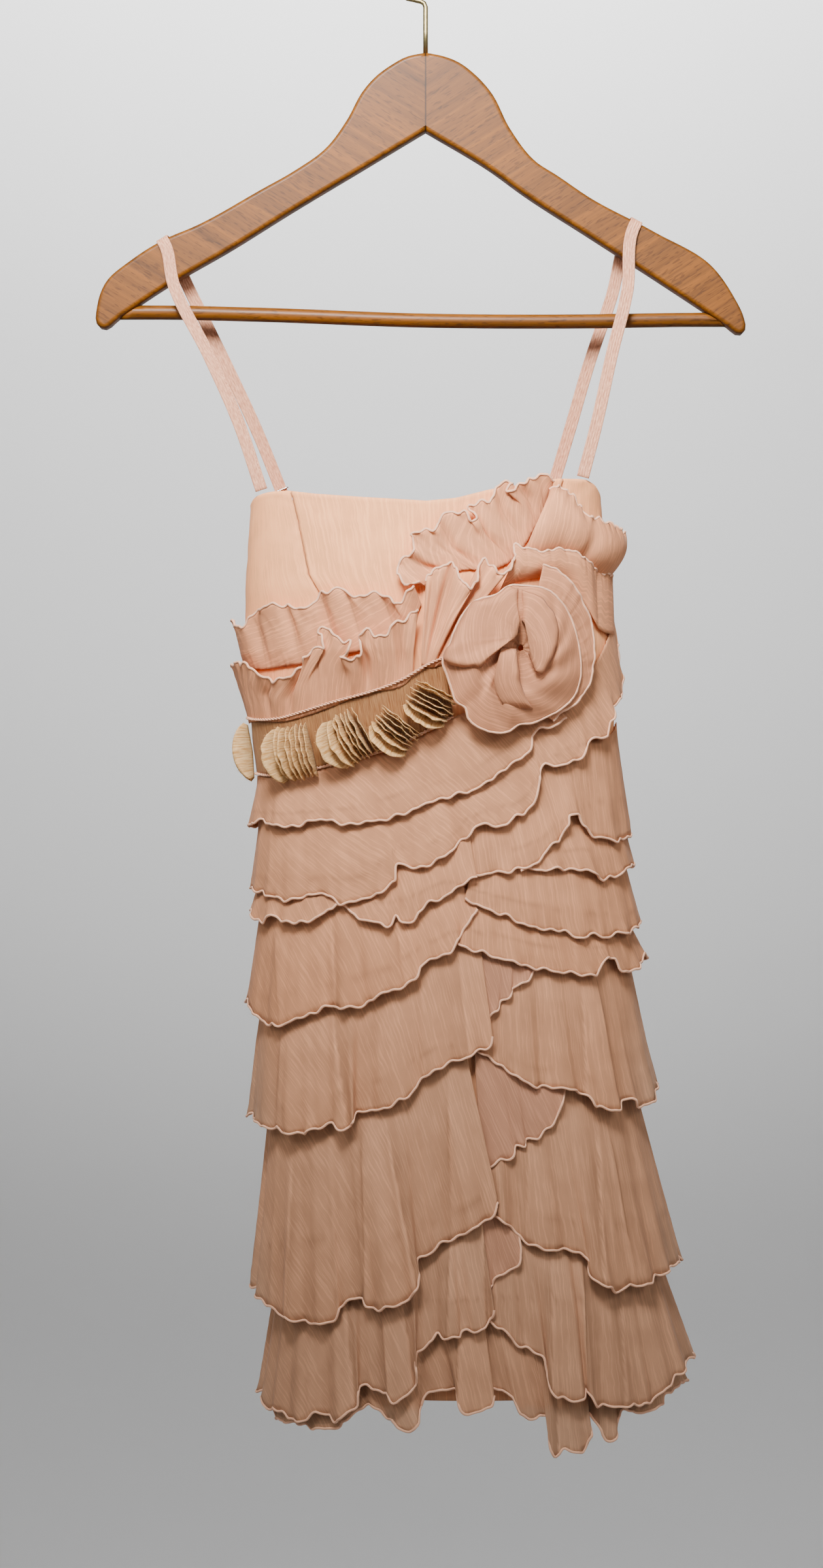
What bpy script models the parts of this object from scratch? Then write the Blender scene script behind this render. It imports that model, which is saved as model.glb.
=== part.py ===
"""A short evening dress of crinkled blush chiffon, hanging by its straps from a wooden hanger.

The dress is a plain fitted tube (bodice panels and an underskirt) that carries rows of ruffles, two
standing frills, a rosette and a waist ribbon with clusters of folded petals. Every cloth piece is a thin
wall. Sizes are millimetres and MM turns them into metres. A point on the dress is given by its turn round
the tube, how far it lies down from the centre of the hook's ring, and how far it stands out from the tube.
"""
import math

import bmesh
import bpy
from mathutils import Vector

MM = 0.001

# The hanger: a wire hook, two flat wooden arms and a round bar.
WIRE_RADIUS = 1.7
HOOK_RADIUS = 25.0
HOOK_START = 240
HOOK_END = -30
HOOK_STEP = 15

# The stem, from the wood up to where the ring begins: across, down from the ring's centre.
STEM = [(0, 59.65), (0, 45), (0, 31), (-2, 27), (-7, 24.6)]
RING_CENTRE = WIRE_RADIUS - HOOK_RADIUS
ARM_THICKNESS = 14.0
ARM_EDGE = 3.0
BAR_RADIUS = 5.0
BAR_END_GAP = 0.56
BAR_SPARE = 30.0
GAP = 0.35

# Cloth and the clearances between its pieces.
RUFFLE_WALL = 1.0
PANEL_WALL = 1.2
PANEL_OUT = -1.4
BOW = 1.15
SEAM_TURN = 0.0027
WIDEST_STEP = math.radians(9)
STRAP_WIDTH = 8.6
STRAP_WALL = 1.1
ARM_CLEAR = 0.9
STRAP_SKEW = 0.1
RING_WIRE = 0.6
RING_SWELL = 1.1
SIDE_TURN = math.pi / 2
NECK_EASE = math.radians(30)
BACK_TURN = math.pi - 0.02

# Heights, down from the centre of the hook's ring.
BODICE_END = 541.0
SLIP_END = 974.0
BACK_NECK = 374.0
BODICE_LEVELS = (395.0, 428.0, 473.0, BODICE_END)
SLIP_LEVELS = (BODICE_END + PANEL_WALL / 2, 563.0, 743.0, 923.0, SLIP_END)
SLIP_COLUMNS = 20

# The plain tube that carries everything: down, half width, half depth, sideways shift.
TUBE = [
    (350, 120, 52, 0),
    (428, 126, 65, 1),
    (473, 127, 66, 2),
    (563, 123, 55, 9),
    (743, 124, 62, 15),
    (923, 126, 65, 29),
    (1010, 129, 66, 33),
]

# In the tables below a row is one crest, valley or turn of an edge: across from the middle, down, out.
# LEFT and RIGHT stand for the side of the dress, whatever its width there.
LEFT = -1000
RIGHT = 1000

# The front neckline: across, down. It runs on round the back at BACK_NECK.
NECKLINE = [
    (LEFT, 363), (-113, 364), (-94, 364), (-76, 367), (-45, 370), (0, 373), (21, 371), (43, 365),
    (54, 363), (88, 356), (109, 355), (RIGHT, 358),
]

# The seam between the front's middle and its side panels: down, distance from the middle.
PRINCESS_SEAM = [(350, 95), (386, 87), (422, 80), (438, 71), (541, 60)]

# Outlines of the hanger's arms, from the middle joint round the tip and back: across, down.
ARM_LEFT = [
    (-GAP / 2, 60), (-14, 63), (-23, 68), (-34, 76), (-43, 86), (-54, 106), (-68, 125), (-90, 141),
    (-113, 154), (-158, 179), (-179, 188), (-203, 203), (-220, 218), (-226, 236), (-226, 247),
    (-222, 250), (-210, 242), (-175, 219), (-135, 196), (-90, 168), (-45, 141), (-GAP / 2, 114),
]
ARM_RIGHT = [
    (GAP / 2, 60), (11, 62), (22, 66), (33, 74), (45, 87), (58, 112), (76, 135), (90, 144), (112, 159),
    (157, 183), (198, 208), (212, 228), (219, 243), (220, 251), (217, 254), (207, 248), (195, 240),
    (157, 215), (112, 186), (67, 157), (45, 141), (GAP / 2, 114),
]

# The bar's sag: across, down. Its ends are cut along the arms' undersides.
BAR = [(-180, 238), (-113, 239.5), (0, 243.5), (113, 244), (180, 243)]
ARM_UNDERSIDES = [((-210, 242), (-175, 219)), ((195, 240), (157, 215))]

# Where each strap crosses its arm: across, down, slope of the arm's top; then its two runs: across, down.
STRAPS = {
    "strap_left": (
        (-180, 188.6, -0.6),
        [(-173, 219), (-148, 270), (-128, 315), (-112, 362.1)],
        [(-164, 219), (-139, 270), (-118, 315), (-95, 372.0)],
    ),
    "strap_right": (
        (144, 176.2, 0.54),
        [(138, 225), (127, 270), (117, 315), (107, 353.6)],
        [(129, 225), (114, 270), (101, 315), (84, 372.2)],
    ),
}
RINGS = {"ring_left": ("strap_left", 357.0), "ring_right": ("strap_right", 350.0)}

# The petal clusters on the ribbon: name, across, down, width, height, petals, tilt, first and last lean.
CLUSTERS = [
    ("petals_1", LEFT, 540, 12, 39, 2, 0, -3, 3),
    ("petals_2", -86, 541, 26, 37, 7, 8, -9, 2),
    ("petals_3", -49, 531, 22, 34, 7, 25, -11, 2),
    ("petals_4", -20, 526, 18, 30, 6, 50, -8, 2),
    ("petals_5", 3, 508, 20, 30, 6, 62, -8, 2),
]
PETAL_REACH = 15.0
PETAL_ROOT = 2.2
PETAL_WALL = 0.9
PETAL_ROUND = 0.92
PETAL_LIFT = 1.2
SMALL_TURN = 0.001
WAIST_ROUND = 240.0

# The ribbon round the waist: its upper and lower edge.
RIBBON = [
    [(LEFT, 518, 0.5), (-93, 518, 0.5), (-66, 510, 0.5), (-14, 493, 0.5), (1, 484, 0.5), (12, 479, 0.5)],
    [(LEFT, 555, 0.5), (-89, 555, 0.5), (-58, 548, 0.5), (-23, 538, 0.5), (4, 525, 0.5), (18, 517, 0.5)],
]

# The rows of wall between a seam (0) and an edge (1), and how a ruffle's back half ends.
FLAT = (0.0, 1.0)
HIP = (0.0, 0.5, 1.0)
DEEP = (0.0, 0.35, 0.7, 1.0)

# The bust's ruffles: name, rows, lines from the seam to the free edge.
BUST = [
    ("frill_lower", HIP, [
        [
            (LEFT, 521, 2), (-112, 520, 2), (-93, 520, 2), (-66, 512, 2), (-40, 502, 2), (-14, 496, 2),
            (-9, 491, 2),
        ],
        [
            (LEFT, 481, 9), (-120, 483, 9.5), (-112, 489, 10.5), (-104, 493, 11.5), (-93, 491, 10.5),
            (-84, 484, 10), (-78, 475, 9), (-72, 469, 9), (-70, 461, 10.5), (-64, 461, 12),
            (-58, 468, 11.5), (-53, 475, 11), (-48, 478, 12), (-44, 473, 12.5), (-42, 464, 11.5),
            (-38, 461, 11.5), (-33, 465, 11.5), (-26, 463, 10.5), (-22, 457, 10), (-14, 453, 10),
            (-5, 447, 9.4),
        ],
    ]),
    ("frill_upper", HIP, [
        [
            (LEFT, 482, 0.5), (-111, 485, 0.5), (-84, 482, 0.5), (-57, 477, 0.5), (-31, 470, 0.5),
            (-12, 460, 0.5), (-3, 443, 0.5),
        ],
        [
            (LEFT, 450, 7), (-121, 452, 7.6), (-118, 448, 6.6), (-111, 444, 7.4), (-98, 442, 8.6),
            (-95, 442, 7.6), (-91, 444, 6.4), (-75, 441, 6), (-72, 437, 5.6), (-66, 434, 7.6),
            (-57, 433, 8.4), (-51, 436, 7.8), (-46, 438, 6), (-36, 436, 6.8), (-27, 437, 7),
            (-23, 440, 6.4), (-21, 444, 6), (-17, 441, 6.4), (-12, 435, 6.4), (-8, 431, 6.2),
        ],
    ]),
    ("frill_shoulder", HIP, [
        [
            (1, 432, 0.6), (12, 425, 0.6), (25, 420, 0.6), (41, 420, 0.6), (55, 415, 0.6), (65, 404, 0.6),
            (75, 387, 0.6), (82, 370, 0.6),
        ],
        [
            (-4, 429, 7), (-14, 429, 8.4), (-19, 423, 8), (-17, 414, 7.5), (-8, 408, 7.5), (-9, 400, 7),
            (-10, 396, 7), (-3, 394, 7.5), (6, 393, 8), (10, 385, 8.5), (21, 381, 8.5), (27, 383, 9),
            (31, 387, 9.6), (33, 381, 9), (35, 376, 8), (42, 374, 8), (46, 368, 8), (50, 362, 8),
            (54, 362, 9), (58, 365, 10), (62, 363, 9.6), (70, 358, 8.4), (81, 355, 7.6), (87, 358, 6),
        ],
    ]),
    ("puff_right", FLAT, [
        [
            (84, 365, 5), (89, 362, 8), (97, 367, 9), (108, 380, 9.4), (120, 384, 10.5), (RIGHT, 391, 12),
        ],
        [
            (74, 388, 9), (83, 388, 13), (96, 391, 14), (109, 397, 14), (121, 403, 13), (RIGHT, 403, 13),
        ],
        [
            (66, 408, 2.4), (76, 410, 1.2), (88, 410, 0.6), (105, 414, 0.6), (116, 419, 0.6),
            (RIGHT, 420, 0.6),
        ],
    ]),
    ("band_right", FLAT, [
        [
            (59, 411, 8), (60, 403, 9.4), (66, 405, 9), (78, 407, 9.6), (91, 405, 10), (105, 409, 10),
            (116, 415, 9.4), (RIGHT, 420, 9.4),
        ],
        [
            (54, 423, 8), (65, 417, 9), (73, 417, 9), (85, 416, 9), (96, 417, 9), (109, 424, 9),
            (120, 432, 9), (RIGHT, 441, 8.6),
        ],
        [
            (49, 434, 1.6), (60, 428, 0.5), (71, 425, 0.5), (82, 424, 0.5), (94, 429, 0.5),
            (105, 439, 2.5), (116, 452, 6), (RIGHT, 461, 7.4),
        ],
    ]),
    ("fan_centre", HIP, [
        [
            (-3, 484, 2.1), (0, 485, 2.1), (3, 485, 2.1), (5, 485, 2.1), (8, 484, 2.1), (11, 483, 2.1),
        ],
        [
            (0, 428, 7.5), (4, 421, 8), (12, 418, 8), (17, 415, 8.4), (23, 416, 9.6), (26, 420, 11),
            (26, 426, 14), (29, 432, 15.5), (32, 429, 15), (35, 419, 12), (39, 415, 11), (43, 418, 13),
            (48, 423, 14.5), (53, 419, 14), (57, 412, 11.5),
        ],
    ]),
]

# The rosette's bowl runs from its heart to this edge, clockwise from the top.
BOWL_MIDDLE = (63.0, 472.0)
BOWL_EDGE = [
    (64, 431, 15), (82, 434, 15), (90, 441, 14), (96, 450, 13.5), (100, 461, 13), (103, 475, 12.5),
    (103, 493, 12.5), (99, 504, 12.5), (91, 512, 12.5), (80, 518, 12.5), (71, 522, 12.5), (62, 523, 13),
    (54, 528, 14), (43, 528, 14), (35, 525, 14), (28, 519, 13.5), (26, 512, 13), (20, 508, 13),
    (17, 500, 13), (14, 491, 13), (11, 482, 13), (15, 472, 13), (19, 461, 14), (24, 451, 15),
    (32, 442, 15.5), (47, 437, 16), (56, 431, 16),
]

# The bowl's depth: share of the way from its heart to its edge, out.
BOWL_RISE = [(0.2, 0.3), (0.34, 14.5), (0.62, 18.5)]

# The pieces folded round the rosette: name, rows, lines from the inner to the outer edge.
FOLDED = [
    ("rosette_flounce", FLAT, [
        [
            (74, 434, 13.4), (84, 439, 13.2), (92, 449, 12.3), (97, 459, 11.6), (99, 471, 11.2),
            (99, 485, 11), (98, 497, 11), (93, 506, 11), (86, 512, 11), (77, 516, 11),
        ],
        [
            (78, 417, 12.5), (85, 418, 12.5), (92, 423, 12.5), (100, 431, 12.5), (106, 442, 11),
            (111, 453, 10), (113, 466, 10), (113, 479, 10), (111, 492, 10), (106, 502, 10), (100, 509, 10),
            (93, 513, 10), (85, 520, 9.2),
        ],
    ]),
    ("rosette_petal_left", HIP, [
        [(62, 455, 20.8), (61, 460, 20.8), (60, 464, 21.3), (57, 467, 21.8), (54, 469, 22.3)],
        [
            (62, 433, 20), (55, 432, 20.5), (47, 438, 21), (31, 443, 20.5), (24, 453, 20), (17, 468, 19.5),
            (12, 481, 19.5), (21, 485, 21.5), (37, 485, 23),
        ],
    ]),
    ("rosette_petal_right", HIP, [
        [(65, 455, 20), (66, 460, 21), (67, 465, 21.5), (68, 471, 22), (69, 476, 22.5)],
        [
            (65, 434, 20), (75, 437, 21), (84, 445, 21.5), (89, 455, 22), (89, 469, 22.5), (84, 481, 23),
            (78, 490, 23.5), (74, 488, 24.5),
        ],
    ]),
    ("rosette_loop", HIP, [
        [(50, 472, 19), (47, 483, 21), (45, 496, 21), (48, 505, 20.4), (52, 512, 19.2)],
        [(61, 473, 21), (62, 483, 24), (64, 496, 23.4), (68, 506, 21.4), (73, 513, 19)],
    ]),
]

# The skirt's ruffles from the hip down: name, rows, tail round the back (seam level and hem level at the
# middle of the back, waves, how far they swing), seam, hem.
TIERS = [
    ("tier_1", HIP, (557, 592, 3, 2.0), [
        (LEFT, 557, 0.5), (-89, 557, 0.5), (-58, 550, 0.5), (-23, 540, 0.5), (4, 527, 0.5),
        (21, 517, 0.5), (47, 510, 0.5), (83, 502, 0.5),
    ], [
        (LEFT, 591, 8), (-111, 588, 5), (-100, 591, 6.5), (-84, 590, 6.5), (-71, 586, 5.5),
        (-58, 589, 6.5), (-45, 589, 6.5), (-33, 587, 5.5), (-22, 585, 6.5), (-5, 578, 6.5), (11, 572, 6),
        (24, 569, 6.5), (37, 564, 6.5), (52, 553, 6), (65, 544, 6.5), (71, 536, 6.5), (73, 527, 7),
        (85, 524, 6.5), (95, 518, 6),
    ]),
    ("tier_2", HIP, (581, 634, 3, 2.0), [
        (LEFT, 581, 0.5), (-89, 582, 0.5), (-45, 578, 0.5), (-1, 564, 0.5), (43, 545, 0.5),
        (78, 518, 0.5), (103, 497, 0.5), (119, 474, 0.5), (RIGHT, 441, 0.5),
    ], [
        (LEFT, 634, 7), (-107, 638, 6), (-93, 641, 7), (-80, 638, 6), (-68, 636, 5.5), (-59, 642, 7),
        (-47, 641, 8), (-33, 636, 8), (-21, 627, 8), (-19, 616, 6), (-12, 618, 7), (1, 617, 8),
        (14, 609, 7.5), (25, 600, 6.5), (39, 589, 7), (44, 591, 7), (60, 585, 7), (72, 576, 7),
        (75, 565, 7), (79, 551, 7), (87, 550, 7), (105, 544, 7), (110, 535, 7), (124, 528, 7),
        (127, 515, 6.5), (RIGHT, 491, 5), (RIGHT, 466, 4),
    ]),
    ("tier_3_left", HIP, (623, 649, 3, 2.0), [
        (28, 590, 3.2), (4, 602, 2), (-18, 606, 0.9), (-40, 624, 0.5), (-67, 626, 0.5), (-98, 627, 0.5),
        (LEFT, 623, 0.5),
    ], [
        (34, 624, 9.5), (24, 629, 8.5), (17, 635, 8), (-1, 644, 8), (-4, 647, 8.5), (-9, 654, 9),
        (-16, 655, 8.5), (-20, 651, 6.5), (-23, 655, 7.5), (-26, 657, 9), (-36, 654, 8), (-46, 652, 6.5),
        (-53, 646, 5.5), (-59, 643, 5), (-66, 648, 7), (-75, 653, 8), (-86, 656, 8), (-97, 655, 8),
        (-104, 652, 7), (-111, 656, 8), (LEFT, 649, 8),
    ]),
    ("tier_3_right", HIP, (557, 597, 3, 2.0), [
        (RIGHT, 520, 0.5), (122, 531, 0.5), (108, 534, 0.5), (79, 547, 0.5), (61, 574, 0.5),
        (39, 580, 0.5), (23, 588, 0.5),
    ], [
        (RIGHT, 597, 7), (123, 600, 7.5), (113, 597, 7), (106, 590, 8), (102, 583, 9), (97, 583, 9),
        (95, 591, 8), (91, 598, 6.5), (83, 605, 6.5), (76, 614, 6.5), (65, 619, 6), (52, 621, 5.8),
        (39, 623, 5.8), (26, 622, 5.8),
    ]),
    ("tier_4_upper", HIP, (581, 634, 3, 2.0), [
        (58, 606, 1.5), (74, 600, 1.2), (92, 585, 0.9), (110, 576, 0.6), (RIGHT, 572, 0.5),
    ], [
        (63, 620, 4.3), (78, 620, 5), (100, 620, 6), (109, 621, 7.5), (115, 624, 8), (121, 627, 7),
        (127, 626, 7.5), (134, 622, 8), (RIGHT, 617, 8.5),
    ]),
    ("tier_4_lower", HIP, (623, 657, 3, 2.0), [
        (29, 625, 3.2), (43, 616, 1.4), (56, 612, 0.5), (74, 609, 0.4), (101, 607, 0.4), (124, 605, 0.4),
        (RIGHT, 601, 0.5),
    ], [
        (26, 639, 5.6), (31, 642, 6), (38, 645, 6.4), (52, 650, 6.4), (65, 656, 6.5), (78, 660, 6.5),
        (92, 661, 6.5), (99, 665, 7.5), (109, 665, 8.4), (115, 664, 8), (121, 667, 8.8), (128, 664, 8.6),
        (135, 664, 9.6), (RIGHT, 657, 12),
    ]),
    ("tier_5_left", HIP, (640, 700, 3, 3.0), [
        (31, 635, 2), (17, 628, 1.8), (-5, 636, 0.8), (-27, 642, 0.5), (-53, 635, 0.5), (-89, 642, 0.5),
        (LEFT, 637, 0.5),
    ], [
        (34, 646, 3.4), (31, 651, 5.4), (24, 661, 8.2), (21, 668, 9.4), (17, 673, 9.4), (8, 678, 9),
        (0, 681, 8), (-4, 685, 8.5), (-5, 689, 10), (-9, 694, 10), (-23, 700, 9.4), (-36, 706, 9),
        (-44, 711, 9), (-57, 712, 10), (-61, 711, 7.5), (-65, 712, 7), (-75, 716, 7.5), (-89, 722, 8.5),
        (-100, 726, 9), (-111, 724, 9), (LEFT, 712, 12),
    ]),
    ("tier_5_right", HIP, (640, 700, 3, 3.0), [
        (RIGHT, 649, 0.5), (124, 651, 0.5), (87, 647, 0.5), (56, 640, 0.5), (30, 633, 0.3),
        (19, 629, 0.3),
    ], [
        (RIGHT, 680, 14), (138, 690, 10), (131, 688, 8.6), (127, 681, 8), (123, 679, 8), (119, 683, 7.5),
        (116, 690, 7.5), (109, 691, 7.5), (100, 690, 7.5), (87, 688, 7), (74, 686, 7), (60, 682, 8),
        (47, 678, 8), (34, 674, 7.4), (23, 670, 6.8), (16, 666, 6.2),
    ]),
    ("tier_6_fold", HIP, None, [
        (76, 680, 3.6), (60, 673, 2.9), (43, 667, 2.3), (29, 664, 1.8),
    ], [
        (74, 687, 4.6), (66, 695, 5.4), (58, 699, 5), (56, 705, 6), (50, 707, 5), (48, 713, 6),
        (41, 719, 5.4), (28, 726, 5),
    ]),
    ("tier_6_left", DEEP, (690, 785, 4, 4.0), [
        (36, 667, 3.6), (21, 661, 2.6), (-1, 671, 1), (-23, 685, 0.5), (-49, 694, 0.5), (-75, 700, 0.5),
        (-103, 709, 0.5), (LEFT, 698, 0.5),
    ], [
        (44, 730, 9), (43, 736, 9.5), (36, 740, 9), (21, 746, 8.5), (4, 754, 8.5), (-3, 759, 8),
        (-9, 767, 8.5), (-22, 776, 9), (-38, 781, 8), (-46, 782, 6.6), (-48, 787, 12.5), (-51, 792, 13),
        (-57, 793, 11.5), (-62, 789, 9), (-66, 791, 10.5), (-75, 794, 11), (-86, 798, 12),
        (-100, 796, 12), (-111, 795, 12), (LEFT, 790, 13.5),
    ]),
    ("tier_6_right", DEEP, (690, 785, 4, 4.0), [
        (RIGHT, 664, 0.5), (133, 670, 0.5), (110, 673, 0.5), (87, 672, 0.5), (65, 669, 0.5),
        (43, 663, 0.4), (29, 661, 0.3),
    ], [
        (RIGHT, 767, 17), (142, 779, 14), (137, 775, 12), (132, 778, 12), (129, 781, 13),
        (120, 781, 12.5), (113, 778, 10.5), (108, 773, 9), (100, 768, 8.5), (93, 766, 8), (78, 765, 7.5),
        (65, 761, 7), (58, 756, 6), (51, 751, 5.4), (43, 746, 4.4), (36, 741, 3.8), (28, 737, 3.4),
    ]),
    ("tier_7_fold", HIP, None, [
        (96, 759, 3.6), (74, 755, 3.4), (56, 747, 2.6), (42, 737, 1.7), (32, 732, 1.5),
    ], [
        (94, 767, 5), (90, 778, 6), (87, 786, 6.4), (78, 796, 6.4), (71, 799, 7), (67, 800, 5.8),
        (66, 805, 7), (60, 803, 5.8), (58, 810, 6.4), (49, 814, 5.6), (37, 819, 5),
    ]),
    ("tier_7_left", DEEP, (770, 900, 4, 5.0), [
        (26, 737, 3.6), (12, 737, 2.6), (-5, 745, 1), (-27, 759, 0.5), (-49, 768, 0.5), (-75, 778, 0.5),
        (-98, 783, 0.5), (LEFT, 779, 0.5),
    ], [
        (48, 840, 10), (46, 847, 10), (38, 853, 9.5), (27, 860, 9), (17, 865, 9), (8, 869, 9),
        (1, 875, 9.5), (-4, 877, 9.5), (-5, 892, 17), (-7, 899, 17), (-18, 907, 16.5), (-31, 911, 15.5),
        (-40, 910, 14.5), (-42, 906, 11.5), (-49, 906, 11), (-56, 911, 12), (-58, 916, 15),
        (-64, 921, 17), (-73, 924, 17), (-84, 923, 16.5), (-98, 922, 16.5), (-107, 917, 17),
        (LEFT, 908, 18),
    ]),
    ("tier_7_right", DEEP, (770, 900, 4, 5.0), [
        (RIGHT, 756, 0.5), (133, 760, 0.5), (112, 760, 0.5), (91, 756, 0.5), (65, 750, 0.5),
        (45, 735, 0.4), (34, 729, 0.3),
    ], [
        (RIGHT, 888, 21), (158, 895, 20), (149, 898, 18.5), (139, 900, 16.5), (135, 898, 15.5),
        (130, 902, 17), (124, 901, 17), (116, 896, 16), (111, 892, 14.6), (110, 885, 13), (108, 880, 11),
        (104, 877, 9.5), (100, 875, 8.6), (86, 873, 8), (73, 871, 7.6), (64, 865, 6.6), (58, 859, 5.8),
        (51, 854, 5.6), (45, 849, 5), (37, 844, 4.4),
    ]),
    ("tier_8_fold", HIP, None, [
        (63, 858, 3.6), (54, 851, 3), (43, 842, 2.4), (33, 838, 2.2),
    ], [
        (62, 864, 5), (63, 874, 6.4), (62, 881, 6.6), (58, 885, 6.2), (51, 889, 5.6), (45, 891, 6.6),
        (44, 896, 6.6), (41, 901, 6.6), (33, 906, 6.4),
    ]),
    ("tier_8_left", DEEP, (865, 975, 4, 5.0), [
        (35, 838, 3.6), (17, 849, 2.6), (-5, 859, 1), (-27, 865, 0.5), (-49, 866, 0.5), (-76, 871, 0.5),
        (-99, 877, 0.5), (LEFT, 873, 0.5),
    ], [
        (45, 911, 10), (43, 918, 10), (37, 924, 9.5), (33, 926, 10), (27, 924, 8), (23, 926, 8.6),
        (22, 929, 10.5), (17, 930, 11), (11, 929, 10.5), (8, 927, 8.6), (4, 932, 9), (-2, 937, 9.8),
        (-5, 939, 9.8), (-6, 955, 16), (-9, 963, 16.5), (-16, 970, 17), (-22, 971, 16.5), (-26, 967, 15),
        (-29, 966, 12.5), (-35, 966, 12), (-40, 962, 11.6), (-43, 963, 11.6), (-45, 970, 16.5),
        (-46, 974, 17), (-53, 983, 17), (-61, 988, 17), (-66, 984, 15.5), (-75, 985, 15.5),
        (-84, 991, 17), (-92, 990, 16.5), (-98, 987, 15.5), (-107, 988, 16), (LEFT, 980, 16),
    ]),
    ("tier_8_right", DEEP, (865, 975, 4, 5.0), [
        (RIGHT, 855, 0.5), (137, 859, 0.5), (114, 858, 0.5), (91, 855, 0.5), (65, 847, 0.5),
        (47, 836, 0.4), (36, 831, 0.3),
    ], [
        (RIGHT, 955, 24), (172, 962, 24), (158, 972, 22), (152, 977, 21), (144, 978, 20.5),
        (130, 977, 20), (121, 977, 20.5), (112, 974, 20), (107, 966, 17.5), (105, 965, 13.5),
        (103, 970, 17.5), (91, 970, 19), (83, 965, 16.5), (81, 957, 13), (79, 949, 10.4), (76, 942, 9.2),
        (69, 939, 8.4), (62, 936, 7.4), (54, 928, 6.4), (44, 921, 5.4), (35, 916, 4.6),
    ]),
    ("tier_9_left", DEEP, (912, 985, 4, 4.0), [
        (36, 904, 1.7), (17, 906, 1.5), (-23, 905, 0.7), (-67, 908, 0.5), (-99, 916, 0.5),
        (LEFT, 914, 0.5),
    ], [
        (45, 969, 7), (43, 974, 10), (37, 978, 11.5), (29, 979, 12), (23, 977, 11.5), (21, 970, 9),
        (20, 965, 5), (9, 966, 4.4), (-1, 970, 4.6), (-4, 979, 8), (-5, 988, 11), (-14, 992, 12),
        (-21, 988, 11), (-23, 985, 8), (-27, 983, 6), (-32, 980, 5), (-40, 977, 5.6), (-43, 979, 7),
        (-47, 982, 8.5), (-55, 990, 9.6), (-66, 995, 9.6), (-82, 995, 9), (-94, 995, 9), (-104, 995, 9),
        (LEFT, 989, 10),
    ]),
    ("tier_9_right", DEEP, (912, 985, 4, 4.0), [
        (RIGHT, 909, 0.5), (123, 906, 0.5), (91, 906, 0.5), (60, 905, 0.5), (36, 902, 0.3),
        (26, 902, 0.2),
    ], [
        (RIGHT, 973, 18), (170, 973, 17), (158, 981, 16), (144, 985, 15), (132, 982, 11), (127, 988, 9.6),
        (126, 998, 11), (122, 1002, 11.5), (117, 997, 11), (113, 989, 8), (109, 984, 6.4), (107, 998, 11),
        (106, 1004, 12.5), (100, 1007, 13.5), (91, 1004, 12.5), (85, 1009, 13), (82, 1003, 12),
        (80, 983, 7), (76, 983, 5.6), (73, 985, 7), (64, 982, 7), (59, 974, 5.6), (54, 967, 4),
        (46, 965, 2.8), (36, 964, 1.2),
    ]),
]


def between(rows, at):
    """Reads a table whose first column rises, at any value of that column."""
    if at <= rows[0][0]:
        return rows[0][1:]
    for low, high in zip(rows, rows[1:]):
        if at <= high[0]:
            share = (at - low[0]) / (high[0] - low[0])
            return tuple(a + share * (b - a) for a, b in zip(low[1:], high[1:]))
    return rows[-1][1:]


def place(turn, down, out):
    """The point at a turn round the dress: 0 is the middle front, minus a quarter turn the left side."""
    half_width, half_depth, shift = between(TUBE, down)
    across = shift + (half_width + out) * math.sin(turn)
    back = -(half_depth + out) * math.cos(turn)
    return Vector((across, back, RING_CENTRE - down)) * MM


def turn_at(across, down, out):
    """The turn at which the front of the dress is this far across."""
    half_width, _, shift = between(TUBE, down)
    return math.asin(max(-1.0, min(1.0, (across - shift) / (half_width + out))))


def mix(first, second, share):
    """The values between two rows of numbers."""
    return tuple(a + share * (b - a) for a, b in zip(first, second))


def edge(rows):
    """An edge's table as turn, down and out, with more points where it bends fast round a side."""
    points = [(turn_at(*row), row[1], row[2]) for row in rows]
    line = [points[0]]
    for last, point in zip(points, points[1:]):
        steps = max(1, math.ceil(abs(point[0] - last[0]) / WIDEST_STEP))
        line += [mix(last, point, step / steps) for step in range(1, steps + 1)]
    return line


def shares_along(line):
    """How far along its own length each point of a line lies, from 0 to 1."""
    spots = [place(*point) for point in line]
    reach = [0.0]
    for last, spot in zip(spots, spots[1:]):
        reach.append(reach[-1] + (spot - last).length)
    return [length / reach[-1] for length in reach]


def point_at(line, share):
    """The point a share of the way along a line."""
    rows = [(s, *point) for s, point in zip(shares_along(line), line)]
    return between(rows, share)


def material(name, colour, roughness, metallic=0.0):
    """A plain surface of one colour, given as red, green and blue from 0 to 1."""
    made = bpy.data.materials.new(name)
    made.use_nodes = True
    shader = made.node_tree.nodes["Principled BSDF"]
    shader.inputs["Base Color"].default_value = (*colour, 1.0)
    shader.inputs["Roughness"].default_value = roughness
    shader.inputs["Metallic"].default_value = metallic
    return made


def add_object(name, bm, surface):
    """Puts a finished mesh into the scene under its own name, with its own copy of the surface."""
    bmesh.ops.recalc_face_normals(bm, faces=bm.faces)
    mesh = bpy.data.meshes.new(name)
    bm.to_mesh(mesh)
    bm.free()
    mesh.materials.append(surface.copy())
    mesh.materials[0].name = name
    mesh.shade_smooth()
    made = bpy.data.objects.new(name, mesh)
    bpy.context.collection.objects.link(made)
    return made


def cloth(name, columns, surface, wall=RUFFLE_WALL, ring=False):
    """A cloth wall through columns of points, thickened evenly to both sides."""
    bm = bmesh.new()
    grid = [[bm.verts.new(spot) for spot in column] for column in columns]
    pairs = list(zip(grid, grid[1:]))
    if ring:
        pairs.append((grid[-1], grid[0]))
    for left, right in pairs:
        for row in range(len(left) - 1):
            bm.faces.new((left[row], right[row], right[row + 1], left[row + 1]))
    made = add_object(name, bm, surface)
    thick = made.modifiers.new("wall", "SOLIDIFY")
    thick.thickness = wall * MM
    thick.offset = 0.0
    return made


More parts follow.
